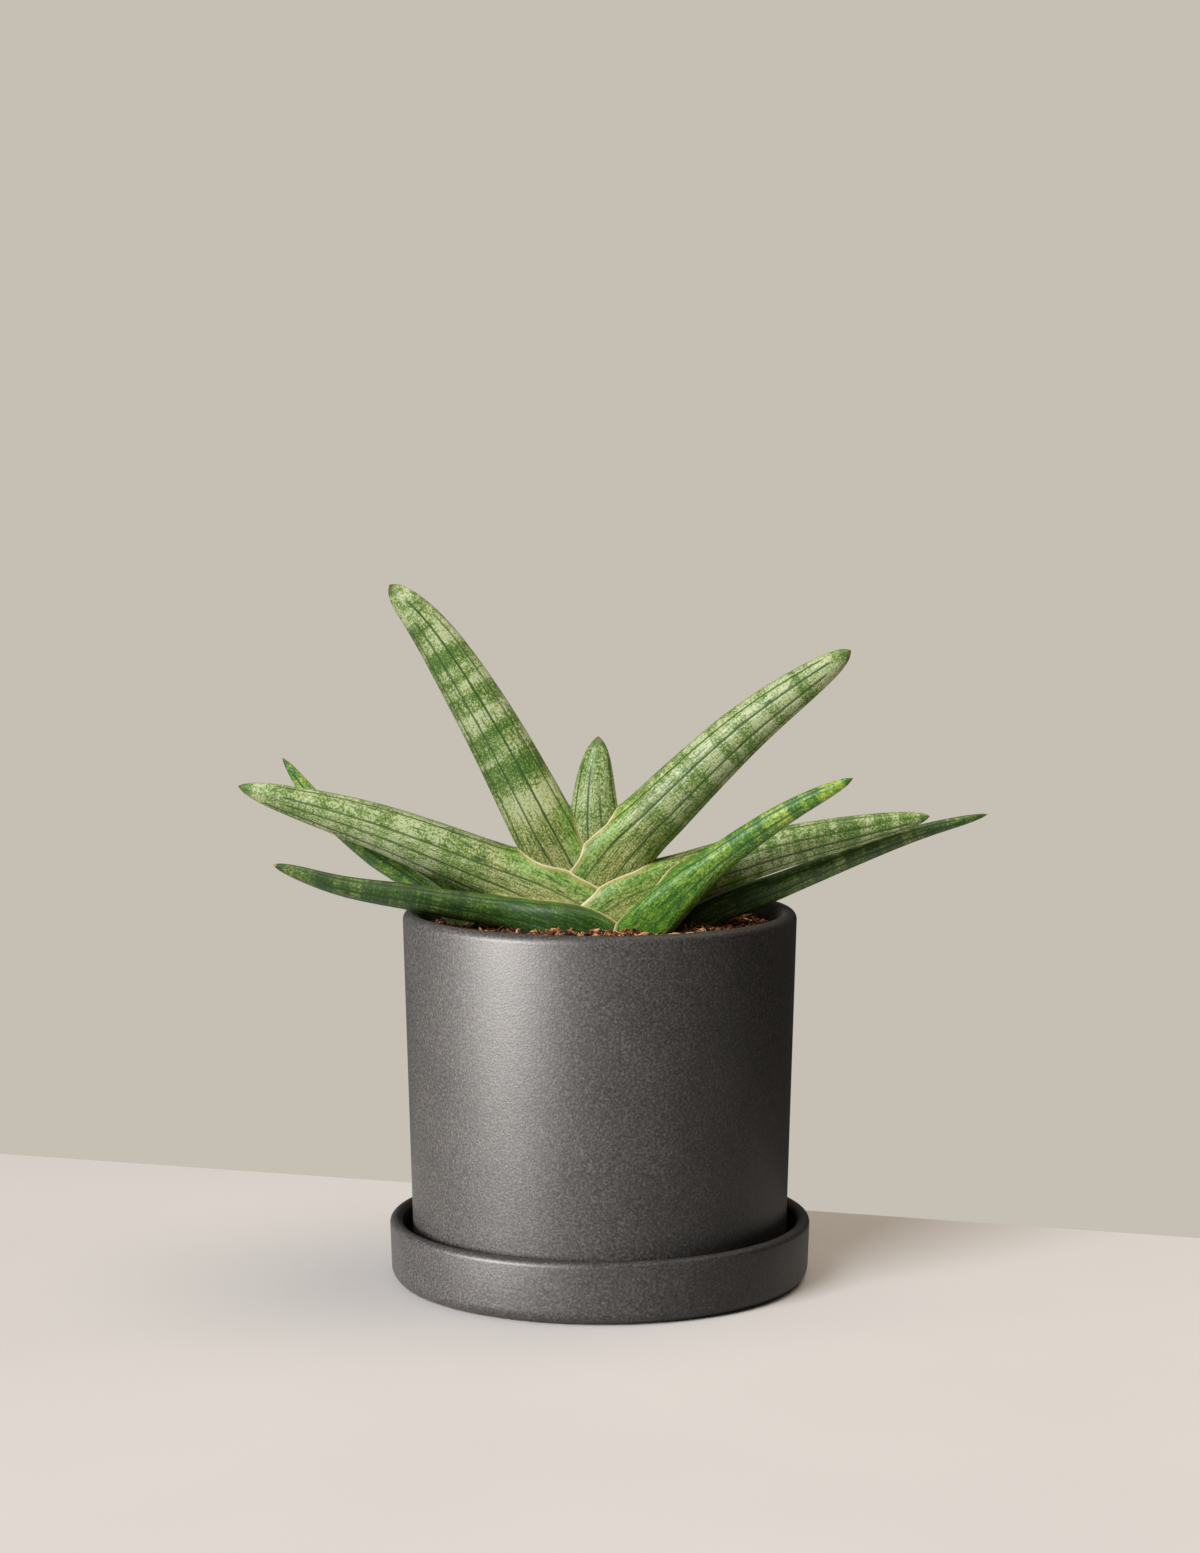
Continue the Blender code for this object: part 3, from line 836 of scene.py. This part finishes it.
    def measure(self, obj: bpy.types.Object) -> None:
        """Marks the inner walls, and writes the lengths that the finish reads as attributes.

        Args:
            obj: The leaf after its cuts.
        """
        mesh = obj.data
        count = len(mesh.vertices)
        uv = np.empty(len(mesh.loops) * 2, np.float32)
        mesh.uv_layers[UV_NAME].data.foreach_get("uv", uv)
        uv = uv.reshape(-1, 2)
        corner = np.empty(len(mesh.loops), np.int32)
        mesh.loops.foreach_get("vertex_index", corner)
        starts = np.empty(len(mesh.polygons), np.int32)
        mesh.polygons.foreach_get("loop_start", starts)
        inner_face = uv[starts, 0] > INNER_U / 2
        mesh.polygons.foreach_set("material_index", inner_face.astype(np.int32))
        outer_corner = uv[:, 0] < INNER_U / 2
        place = np.zeros((count, 2))
        place[corner[outer_corner]] = uv[outer_corner]
        is_outer = np.zeros(count, bool)
        is_outer[corner[outer_corner]] = True
        surface = self.surface(self.rows, self.grooves * self.columns_per_strip)
        steps = np.linalg.norm(np.diff(surface, axis=1), axis=2)
        widths = steps.reshape(self.rows + 1, self.grooves, self.columns_per_strip).sum(axis=2)
        row = place[:, 1] * self.rows
        below = np.clip(np.floor(row).astype(int), 0, self.rows - 1)
        part = row - below
        strips = place[:, 0] * self.grooves
        strip = np.clip(np.floor(strips).astype(int), 0, self.grooves - 1)
        width = widths[below, strip] * (1 - part) + widths[below + 1, strip] * part
        heights = self.heights(self.rows)
        from_base = np.interp(row, np.arange(self.rows + 1), heights)
        girth = np.interp(row, np.arange(self.rows + 1), widths.sum(axis=1))
        lengths = {
            "from_base": from_base,
            "from_tip": heights[-1] - from_base,
            "girth": girth,
            "to_groove": np.abs(strips - np.round(strips)) * width,
            "rim": self.raise_margin(obj, inner_face, is_outer),
        }
        for key, values in lengths.items():
            attribute = mesh.attributes.new(key, "FLOAT", "POINT")
            attribute.data.foreach_set("value", values.astype(np.float32))

    def raise_margin(self, obj: bpy.types.Object, inner_face: np.ndarray, is_outer: np.ndarray) -> np.ndarray:
        """Swells the outer skin beside the mouth of the sheath into a thin raised margin.

        Args:
            obj: The leaf.
            inner_face: For each face, whether it is an inner wall.
            is_outer: For each vertex, whether it is on the outer skin.

        Returns:
            Each vertex's distance from the margin, in millimetres.
        """
        work = bmesh.new()
        work.from_mesh(obj.data)
        work.verts.ensure_lookup_table()
        work.faces.ensure_lookup_table()
        points = []
        for edge in work.edges:
            if len(edge.link_faces) == 2:
                first, second = (inner_face[face.index] for face in edge.link_faces)
                if first != second:
                    start, end = edge.verts
                    pieces = max(1, math.ceil(edge.calc_length() / (self.margin_step * MM)))
                    for k in range(pieces + 1):
                        points.append(start.co.lerp(end.co, k / pieces))
        rim = np.full(len(work.verts), self.far_from_margin)
        if points:
            tree = KDTree(len(points))
            for i, point in enumerate(points):
                tree.insert(point, i)
            tree.balance()
            for vertex in work.verts:
                rim[vertex.index] = min(self.far_from_margin, tree.find(vertex.co)[2] / MM)
            for vertex in work.verts:
                distance = rim[vertex.index]
                if is_outer[vertex.index] and distance < self.margin_reach:
                    normal = Vector()
                    for face in vertex.link_faces:
                        if not inner_face[face.index]:
                            normal += face.normal
                    if normal.length > 0:
                        swell = self.margin_swell * math.exp(-(distance / self.margin_width) ** 2)
                        vertex.co += normal.normalized() * swell * MM
        work.to_mesh(obj.data)
        work.free()
        return rim


SLENDER = {"grooves": 7, "rows": 170}

# From the heart of the fan outwards: each leaf's base clasps the ones before it
LEAVES = (
    SnakeLeaf("heart", Side.LEFT,
              ((2, 1, 105), (0.5, 1, 130), (-1.7, 1, 172), (-0.5, 2, 193.4)),
              11.5, 45, 0.43, 6.5, 7.0, replace(PALE, seed=2.0, band_strength=0.25, base_reach=66.0), 3),
    SnakeLeaf("upper_left", Side.LEFT,
              ((1, 0, 105), (-3, 0, 130), (-18.9, 0, 160.7), (-39.5, 1, 199), (-60, 2, 231), (-74.2, 2, 247)),
              12.5, 103, 0.33, 10.0, 8.8, replace(PALE, seed=11.0, band_strength=0.6), 5),
    SnakeLeaf("upper_right", Side.RIGHT,
              ((-4, 0, 105), (-6.5, 0, 131), (2.8, 0, 148.6), (22.8, 0, 169.4), (52.8, -1, 197.6),
               (88.5, -2, 224.1)),
              12.4, 112, 0.37, 13.8, 10.6, replace(PALE, seed=23.0), 8),
    SnakeLeaf("left", Side.LEFT,
              ((5, 0, 105), (0.5, 0, 126), (-16.5, 0, 137.2), (-42.7, 0, 147.5), (-80.3, -2, 162.1),
               (-127.8, -3, 176.1)),
              12.3, 116, 0.43, 13.8, 12.4, replace(PALE, seed=31.0, bias=0.46, band_strength=0.3), 13),
    SnakeLeaf("right", Side.RIGHT,
              ((-8, 0, 105), (-7.5, 0, 119), (6.5, 0, 132.6), (29.2, 0, 142.6), (61.1, 0, 153),
               (94.7, 1, 160.6), (117.3, 2, 164.9)),
              10.9, 112, 0.44, 12.6, 14.2, replace(PALE, seed=43.0, bias=0.55, tip="#a8452c"), 21),
    SnakeLeaf("lower_left", Side.LEFT,
              ((11, -1, 105), (8, -2, 117), (-3.5, -4, 126), (-24.6, -9, 131), (-48.4, -13, 135),
               (-66, -15.5, 138.3), (-90.6, -17, 142.5), (-114.1, -20, 150.2)),
              5.9, 80, 0.37, 8.5, 15.4, replace(DEEP, seed=53.0, bias=0.76), 34, **SLENDER),
    SnakeLeaf("front_right", Side.RIGHT,
              ((6, -3, 105), (8, -4, 117), (17, -9.5, 129.9), (38.3, -18, 149.7), (64.6, -22, 168.5),
               (87.7, -26, 181.1)),
              6.2, 72, 0.40, 9.0, 13.8, replace(VIVID, seed=61.0), 55, **SLENDER),
    SnakeLeaf("back_left", Side.LEFT,
              ((-24, 8, 105), (-31, 10, 116.5), (-60, 15, 137), (-81, 18, 150.3), (-101, 23, 166.3),
               (-115, 26, 183.6)),
              5.6, 50, 0.48, 5.6, 6.0, replace(VIVID, seed=71.0), 89, roll=50.0, **SLENDER),
    SnakeLeaf("lower_right", Side.RIGHT,
              ((22, 4, 105), (24.5, 4, 117), (35.7, 5, 128.3), (64.2, 7, 139.6), (110.3, 10, 157),
               (139.2, 12, 164.6)),
              5.4, 98, 0.46, 5.4, 5.6, replace(DEEP, seed=83.0, bias=0.6), 144, **SLENDER),
)


@dataclass
class LeafFan:
    """The fan of leaves, built from its heart outwards."""

    leaves: Sequence[SnakeLeaf] = LEAVES
    forms: list[bpy.types.Object] = field(default_factory=list)
    blades: list[bpy.types.Object] = field(default_factory=list)

    def build(self) -> None:
        """Makes each leaf, with the ones before it taken out of its base."""
        inside = SheathFinish().build()
        for leaf in self.leaves:
            self.blades.append(leaf.blade(self.forms, inside))
            self.forms.append(leaf.cutter())

    def clear(self) -> None:
        """Removes the forms that the cuts used."""
        for form in self.forms:
            bpy.data.objects.remove(form, do_unlink=True)
        self.forms.clear()


@dataclass(frozen=True)
class Vessel:
    """A tapered round stoneware vessel on a foot ring, shaped from a cylinder.

    The rounds are a size and a number of faces for the lip's outer and inner edge, the foot, the corner of
    the floor and, if given, the inside of the foot ring. Without a drainage hole the floor is whole.
    """

    node: str
    top_radius: float
    foot_radius: float
    wall: float
    floor: float
    foot_ring: float
    recess: float
    rounds: tuple[tuple[float, int], ...]
    drain_radius: float = 0.0
    sides: int = 192
    near: float = 0.2 * MM
    bare_height: float = 0.3 * MM
    crease: float = 32.0  # degrees

    def round_off(self, obj: bpy.types.Object, height: float, radius: float, size: float, faces: int) -> None:
        """Rounds the ring of edges at a height and radius.

        Args:
            obj: The vessel in edit mode.
            height: The ring's height.
            radius: The ring's radius.
            size: The round's width on each side.
            faces: How many faces the round has.
        """
        select_where(obj, "EDGE", lambda e: all(
            abs(v.co.z - height) < self.near and abs(v.co.xy.length - radius) < self.near for v in e.verts))
        bpy.ops.mesh.bevel(offset=size, offset_type="OFFSET", segments=faces, profile=0.5, clamp_overlap=True)

    def build(self) -> bpy.types.Object:
        """Shapes and glazes the vessel.

        Returns:
            The finished object.
        """
        low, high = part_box(self.node)
        foot_z, top_z = low.z, high.z
        floor_z = foot_z + self.floor
        obj = add_primitive(bpy.ops.mesh.primitive_cylinder_add, vertices=self.sides, radius=self.top_radius,
                            depth=top_z - foot_z, location=(0, 0, (top_z + foot_z) / 2))
        bpy.ops.object.transform_apply(location=True, rotation=True, scale=True)
        bpy.ops.object.mode_set(mode="EDIT")
        select_where(obj, "VERT", lambda v: v.co.z < foot_z + MM)
        taper = self.foot_radius / self.top_radius
        bpy.ops.transform.resize(value=(taper, taper, 1.0))
        select_where(obj, "FACE", lambda f: f.normal.z > LEVEL)
        bpy.ops.mesh.inset(thickness=self.wall)
        inner_top = self.top_radius - self.wall
        inner_foot = self.foot_radius - self.wall
        extrude_up(floor_z - top_z, inner_foot / inner_top)
        bpy.ops.mesh.inset(thickness=inner_foot - self.drain_radius if self.drain_radius else inner_foot / 2)
        select_where(obj, "FACE", lambda f: f.normal.z < -LEVEL and f.calc_center_median().z < foot_z + MM)
        bpy.ops.mesh.inset(thickness=self.foot_ring)
        ring = self.foot_radius - self.foot_ring
        under = ring - self.recess
        extrude_up(self.recess, under / ring)
        bpy.ops.mesh.inset(thickness=under - self.drain_radius if self.drain_radius else ring / 2)
        if self.drain_radius:
            reach = self.drain_radius + self.near
            select_where(obj, "FACE", lambda f: all(v.co.xy.length < reach for v in f.verts))
            bpy.ops.mesh.delete(type="FACE")
            select_where(obj, "EDGE", lambda e: e.is_boundary)
            bpy.ops.mesh.bridge_edge_loops()
        rings = ((top_z, self.top_radius), (top_z, inner_top), (foot_z, self.foot_radius),
                 (floor_z, inner_foot), (foot_z, ring))
        for (height, radius), (size, faces) in zip(rings, self.rounds):
            self.round_off(obj, height, radius, size, faces)
        leave_edit_mode()
        glaze = GlazeFinish(f"charcoal satin glaze on the {self.node}", bare_below=foot_z + self.bare_height)
        finish_piece(obj, "glazed_" + self.node, (glaze.build(),), self.node, self.crease)
        return obj


@dataclass(frozen=True)
class Pot(Vessel):
    """The pot: a straight-sided cylinder with soft lips, a foot ring and a drainage hole."""

    node: str = "pot"
    top_radius: float = 70.0 * MM
    foot_radius: float = 66.4 * MM
    wall: float = 5.3 * MM
    floor: float = 7.0 * MM
    foot_ring: float = 9.0 * MM
    recess: float = 1.2 * MM
    rounds: tuple[tuple[float, int], ...] = (
        (3.0 * MM, 8), (2.2 * MM, 6), (3.0 * MM, 6), (6.0 * MM, 7), (0.5 * MM, 2))
    drain_radius: float = 6.0 * MM


@dataclass(frozen=True)
class Saucer(Vessel):
    """The saucer: a flat floor in a low upright wall with a full round lip and a rounded foot."""

    node: str = "saucer"
    top_radius: float = 75.1 * MM
    foot_radius: float = 74.3 * MM
    wall: float = 4.6 * MM
    floor: float = 4.0 * MM
    foot_ring: float = 14.6 * MM
    recess: float = 0.7 * MM
    rounds: tuple[tuple[float, int], ...] = ((2.2 * MM, 8), (2.2 * MM, 8), (4.6 * MM, 8), (3.0 * MM, 5))


@dataclass
class MixBed:
    """The bed of potting mix: a crumbly surface in the pot, with the holes that the plant stands in."""

    pot: Pot
    edge_z: float = 124.4 * MM
    mound: float = 2.6 * MM
    relief: float = 1.1 * MM
    grain: float = 9.0 * MM
    crumb: float = 0.55 * MM
    crumb_grain: float = 1.9 * MM
    slice_z: float = 81.0 * MM
    crumb_slice_z: float = 10.0 * MM
    faces_across: int = 200
    floor_gap: float = 0.3 * MM
    edge_gap: float = 0.05 * MM
    fillet: float = 6.0 * MM
    crease: float = 50.0  # degrees
    pot_z: tuple[float, float] = tuple(corner.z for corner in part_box("pot"))
    obj: Optional[bpy.types.Object] = None

    def radius(self, z: float) -> float:
        """Finds the radius of the pot's inner wall.

        Args:
            z: The height.

        Returns:
            The radius there.
        """
        foot_z, top_z = self.pot_z
        share = (z - foot_z) / (top_z - foot_z)
        return self.pot.foot_radius - self.pot.wall + share * (self.pot.top_radius - self.pot.foot_radius)

    def height(self, x: float, y: float) -> float:
        """Finds how high the crumbly surface is.

        Args:
            x: The place from left to right.
            y: The place from front to back.

        Returns:
            The height there.
        """
        share = min(1.0, math.hypot(x, y) / self.radius(self.edge_z))
        lumps = noise.noise(Vector((x, y, self.slice_z)) / self.grain)
        crumbs = noise.fractal(Vector((x, y, self.crumb_slice_z)) / self.crumb_grain, 1.0, 2.0, 3)
        rise = self.mound * (1 - share * share) + self.relief * lumps * (1 - share ** 4)
        return self.edge_z + rise + self.crumb * crumbs * (1 - 0.6 * share ** 6)

    def build(self, forms: Sequence[bpy.types.Object]) -> None:
        """Shapes the bed from a grid and takes the plant out of it.

        Args:
            forms: The leaves' forms.
        """
        edge = self.radius(self.edge_z) - self.edge_gap
        obj = add_primitive(bpy.ops.mesh.primitive_grid_add, x_subdivisions=self.faces_across,
                            y_subdivisions=self.faces_across, size=2.0)
        for vertex in obj.data.vertices:
            x, y, _ = vertex.co
            disc_x = x * math.sqrt(1 - y * y / 2) * edge
            disc_y = y * math.sqrt(1 - x * x / 2) * edge
            vertex.co = (disc_x, disc_y, self.height(disc_x, disc_y))
        bottom_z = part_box("potting_mix")[0].z
        bpy.ops.object.mode_set(mode="EDIT")
        select_where(obj, "EDGE", lambda e: e.is_boundary)
        for z, inset in ((bottom_z + self.fillet, 0.0), (bottom_z, self.fillet)):
            bpy.ops.mesh.extrude_region_move()
            mesh = bmesh.from_edit_mesh(obj.data)
            radius = self.radius(z) - self.floor_gap - inset
            for vertex in mesh.verts:
                if vertex.select:
                    scale = radius / vertex.co.xy.length
                    vertex.co = (vertex.co.x * scale, vertex.co.y * scale, z)
            bmesh.update_edit_mesh(obj.data)
        bpy.ops.mesh.edge_face_add()
        leave_edit_mode()
        take_out(obj, forms)
        fines = MixFinish("damp coir fines", ((0.3, "#120a06"), (0.5, "#2a1710"), (0.72, "#4a2a1a")),
                          by_piece=False)
        finish_piece(obj, "mix_bed", (fines.build(),), "potting_mix", self.crease)
        self.obj = obj


@dataclass
class MixLitter:
    """What lies on the bed: broken bark and coir chips, strands of coir and a few grains of perlite."""

    bed: MixBed
    blades: Sequence[bpy.types.Object]
    chips: int = 4600
    strands: int = 900
    grains: int = 46
    seed: int = 7
    tries_each: int = 6
    wall_gap: float = 0.9 * MM
    leaf_gap: float = 0.8 * MM
    drop_from: float = 3.0 * MM
    hole_depth: float = 1.2 * MM
    smallness: float = 2.2  # how much more often small ones come than large ones
    lift: float = 0.06  # of a piece's length
    chip_jitter: float = 0.16
    chip_section: tuple[float, float] = (0.42, 0.26)
    chip_middle: float = 0.1
    chip_length: float = 0.8
    strand_radius: float = 0.022
    strand_step: float = 0.2
    strand_bends: int = 4
    strand_bend: float = 0.09

    def chip(self, draw: np.random.Generator, sides: int) -> bpy.types.Object:
        """A splinter of bark, one millimetre long: an uneven prism with its ends pulled in.

        Args:
            draw: The random draw.
            sides: How many sides the prism has.

        Returns:
            The splinter.
        """
        obj = add_primitive(bpy.ops.mesh.primitive_cylinder_add, vertices=sides, radius=0.5, depth=1.0)
        bpy.ops.object.mode_set(mode="EDIT")
        select_where(obj, "FACE", lambda f: f.normal.z > LEVEL)
        bpy.ops.mesh.extrude_region_move(TRANSFORM_OT_translate={"value": (0.1, 0.05, 0.35)})
        bpy.ops.transform.resize(value=(0.5, 0.7, 1.0))
        bpy.ops.object.mode_set(mode="OBJECT")
        thick, thin = self.chip_section
        for vertex in obj.data.vertices:
            vertex.co += Vector(draw.uniform(-self.chip_jitter, self.chip_jitter, 3))
            x, y, z = vertex.co
            vertex.co = (x * thick, y * thin, (z - self.chip_middle) * self.chip_length)
        obj.data.transform(Matrix.Rotation(math.radians(90), 4, "Y"))
        return obj

    def strand(self, draw: np.random.Generator) -> bpy.types.Object:
        """A strand of coir, one millimetre long: a thin three-sided rod with a few bends.

        Args:
            draw: The random draw.

        Returns:
            The strand.
        """
        step = self.strand_step
        obj = add_primitive(bpy.ops.mesh.primitive_cylinder_add, vertices=3, radius=self.strand_radius,
                            depth=step)
        bpy.ops.object.mode_set(mode="EDIT")
        select_where(obj, "FACE", lambda f: f.normal.z > LEVEL)
        for _ in range(self.strand_bends):
            x, y = draw.uniform(-self.strand_bend, self.strand_bend, 2)
            bpy.ops.mesh.extrude_region_move(TRANSFORM_OT_translate={"value": (float(x), float(y), step)})
        bpy.ops.transform.resize(value=(0.3, 0.3, 1.0))
        bpy.ops.object.mode_set(mode="OBJECT")
        middle = Matrix.Translation((0, 0, -self.strand_bends * step / 2))
        obj.data.transform(Matrix.Rotation(math.radians(90), 4, "Y") @ middle)
        return obj

    def grain(self, draw: np.random.Generator) -> bpy.types.Object:
        """A grain of perlite, one millimetre wide: a knobbly ball.

        Args:
            draw: The random draw.

        Returns:
            The grain.
        """
        obj = add_primitive(bpy.ops.mesh.primitive_ico_sphere_add, subdivisions=2, radius=0.5)
        for vertex in obj.data.vertices:
            vertex.co *= 1.0 + float(draw.uniform(-0.18, 0.14))
        return obj

    def spots(self, draw: np.random.Generator, count: int) -> Spots:
        """Places on the bed that no leaf stands in or touches.

        Args:
            draw: The random draw.
            count: How many are wanted.

        Returns:
            For each, the point and the bed's normal there.
        """
        graph = bpy.context.evaluated_depsgraph_get()
        bed = BVHTree.FromObject(self.bed.obj, graph)
        leaves = [BVHTree.FromObject(blade, graph) for blade in self.blades]
        edge = self.bed.radius(self.bed.edge_z) - self.wall_gap
        found = []
        for _ in range(count * self.tries_each):
            if len(found) == count:
                break
            radius = edge * math.sqrt(draw.uniform())
            angle = draw.uniform(0.0, 2 * math.pi)
            x, y = radius * math.cos(angle), radius * math.sin(angle)
            expected = self.bed.height(x, y)
            above = Vector((x, y, expected + self.drop_from))
            point, normal, _, _ = bed.ray_cast(above, Vector((0, 0, -1)))
            if point is None or abs(point.z - expected) > self.hole_depth:
                continue
            if any(tree.find_nearest(point, self.leaf_gap)[0] is not None for tree in leaves):
                continue
            found.append((point, normal))
        return found

    def scatter(
        self,
        draw: np.random.Generator,
        name: str,
        models: Sequence[bpy.types.Object],
        count: int,
        lengths: tuple[float, float],
        tilt: float,
        finish: MixFinish,
    ) -> None:
        """Copies the models over the bed as one piece.

        Args:
            draw: The random draw.
            name: The piece's name.
            models: The shapes that are copied, one millimetre long.
            count: How many copies are wanted.
            lengths: The least and the greatest length in millimetres.
            tilt: How far they lean from lying flat, in radians.
            finish: Their finish.
        """
        copies = []
        for point, normal in self.spots(draw, count):
            model = models[int(draw.integers(len(models)))]
            mesh = model.data.copy()
            low, high = lengths
            size = (low + (high - low) * float(draw.uniform()) ** self.smallness) * MM
            turn = Euler((float(draw.normal(0, tilt)), float(draw.normal(0, tilt)),
                          float(draw.uniform(0, 2 * math.pi)))).to_matrix().to_4x4()
            lift = Matrix.Translation(point + normal * size * self.lift)
            mesh.transform(lift @ turn @ Matrix.Diagonal((size, size, size, 1.0)))
            shade = mesh.attributes.new("shade", "FLOAT", "POINT")
            shade.data.foreach_set("value", np.full(len(mesh.vertices), draw.uniform(), np.float32))
            copy = bpy.data.objects.new(name, mesh)
            bpy.context.scene.collection.objects.link(copy)
            copies.append(copy)
        bpy.ops.object.select_all(action="DESELECT")
        for copy in copies:
            copy.select_set(True)
        bpy.context.view_layer.objects.active = copies[0]
        bpy.ops.object.join()
        finish_piece(copies[0], name, (finish.build(),))
        for model in models:
            bpy.data.objects.remove(model, do_unlink=True)

    def build(self) -> None:
        """Makes the chips, strands and grains."""
        draw = np.random.default_rng(self.seed)
        bark = MixFinish("broken bark and coir chips", (
            (0.08, "#1c0e08"), (0.38, "#4a2716"), (0.62, "#8a4b29"), (0.82, "#bd7846"), (0.98, "#dfae7c")))
        coir = MixFinish("coir strands", ((0.1, "#5a3019"), (0.55, "#a0653a"), (0.95, "#d8ab78")))
        perlite = MixFinish("perlite grains", ((0.0, "#cfc9bf"), (1.0, "#f2efe8")), roughness=0.8)
        chips = [self.chip(draw, sides) for sides in (4, 5, 4, 6)]
        self.scatter(draw, "bark_chips", chips, self.chips, (0.8, 3.6), 0.5, bark)
        strands = [self.strand(draw) for _ in range(5)]
        self.scatter(draw, "coir_strands", strands, self.strands, (2.5, 7.5), 0.25, coir)
        grains = [self.grain(draw) for _ in range(3)]
        self.scatter(draw, "perlite_grains", grains, self.grains, (0.8, 2.1), 3.0, perlite)


@dataclass(frozen=True)
class BarkyRhizome:
    """The buried stem: its solid stays, and gets a pale corky skin."""

    node: str = "rhizome"

    def dress(self) -> None:
        """Gives the stem's node its skin."""
        cork = MixFinish("pale corky rhizome skin", ((0.3, "#8a6a3e"), (0.55, "#b8945c"), (0.8, "#d4b680")),
                         roughness=0.7, grain=2.0, by_piece=False)
        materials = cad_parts[self.node].data.materials
        materials.clear()
        materials.append(cork.build())
        LOG.info("%s: dressed", self.node)


@dataclass(frozen=True)
class Studio:
    """The pale table, the warm plain backdrop, the soft light and the camera of the photograph."""

    focal_pixels: float = 3265.0
    frame_height: int = 1553
    camera_distance: float = 1.151
    camera_height: float = 0.288
    camera_tilt: float = 5.4  # degrees below level
    sensor: float = 36.0
    frame_shift: float = 0.2  # pixels
    table_edge: tuple[tuple[float, float], ...] = ((-0.226, 0.1965), (0.222, 0.0545))
    table_reach: float = 1.6
    table_thickness: float = 0.04
    wall_colour: str = "#c6bfb4"
    surround_light: float = 0.105
    aim: tuple[float, float, float] = (0.0, 0.0, 0.12)
    # Name, place and size in metres, power in watts and colour of each lamp
    lamps: tuple[tuple[str, tuple[float, float, float], tuple[float, float], float, str], ...] = (
        ("window", (-2.3, -2.9, 2.9), (2.2, 2.2), 214.0, "#f6f8ff"),
        ("strip", (-2.02, -1.42, 0.3), (1.5, 1.1), 510.0, "#fffaf6"),
        ("top", (0.5, 0.1, 1.8), (1.7, 1.7), 21.0, "#fff1e0"),
    )

    def camera(self) -> None:
        """Sets the camera at the photograph's viewpoint."""
        data = bpy.data.cameras.new("viewpoint")
        data.sensor_width = self.sensor
        data.lens = self.focal_pixels / self.frame_height * self.sensor
        data.shift_x = self.frame_shift / self.frame_height
        data.clip_start = 0.01
        camera = bpy.data.objects.new("viewpoint", data)
        camera.location = (0.0, -self.camera_distance, self.camera_height)
        camera.rotation_euler = (math.radians(90 - self.camera_tilt), 0.0, 0.0)
        bpy.context.scene.collection.objects.link(camera)
        bpy.context.scene.camera = camera

    def table(self) -> None:
        """Adds the table: a slab whose far edge runs at a slant behind the pot."""
        (x0, y0), (x1, y1) = self.table_edge
        slope = (y1 - y0) / (x1 - x0)
        slab = add_primitive(bpy.ops.mesh.primitive_cube_add, size=2.0)
        for vertex in slab.data.vertices:
            x, y, z = vertex.co
            x *= self.table_reach
            far = y0 + slope * (x - x0)
            vertex.co = (x, far if y > 0 else -self.table_reach, 0.0 if z > 0 else -self.table_thickness)
        slab.name = "table"
        slab.data.materials.append(TableFinish("pale matte table top").build())

    def light(self) -> None:
        """Lights the set: a large soft window high on the left, a low strip that draws the pot's long
        shine, a broad light overhead and an even surround."""
        for name, place, size, power, colour in self.lamps:
            data = bpy.data.lights.new(name, "AREA")
            data.shape = "RECTANGLE"
            data.size, data.size_y = size
            data.energy = power
            data.color = linear(colour)[:3]
            lamp = bpy.data.objects.new(name, data)
            lamp.location = place
            lamp.rotation_euler = (Vector(self.aim) - Vector(place)).to_track_quat("-Z", "Y").to_euler()
            bpy.context.scene.collection.objects.link(lamp)
        world = bpy.data.worlds.new("surround")
        world.use_nodes = True
        tree = world.node_tree
        tree.nodes.clear()
        seen = add_node(tree, "ShaderNodeLightPath", {}, output="Is Camera Ray")
        strength = add_node(tree, "ShaderNodeMapRange", {}, {0: seen, 3: self.surround_light, 4: 1.0})
        surround = add_node(tree, "ShaderNodeBackground", {},
                            {"Color": linear(self.wall_colour), "Strength": strength})
        add_node(tree, "ShaderNodeOutputWorld", {}, (surround,))
        bpy.context.scene.world = world
        bpy.context.scene.view_settings.view_transform = "Standard"

    def shine_on(self, pieces: Sequence[bpy.types.Object]) -> None:
        """Keeps the strip's light to the glazed pieces, whose long satin shine it draws.

        Args:
            pieces: The glazed pieces.
        """
        glazed = bpy.data.collections.new("glazed")
        for piece in pieces:
            glazed.objects.link(piece)
        bpy.data.objects["strip"].light_linking.receiver_collection = glazed

    def build(self) -> None:
        """Adds the camera, the table and the light."""
        self.camera()
        self.table()
        self.light()


def main() -> None:
    """Builds the set and the plant from the table up."""
    logging.basicConfig(level=logging.INFO, format="%(message)s")
    studio = Studio()
    studio.build()
    pot = Pot()
    studio.shine_on((Saucer().build(), pot.build()))
    BarkyRhizome().dress()
    fan = LeafFan()
    fan.build()
    bed = MixBed(pot)
    bed.build(fan.forms)
    fan.clear()
    MixLitter(bed, fan.blades).build()


if __name__ == "__main__":
    main()
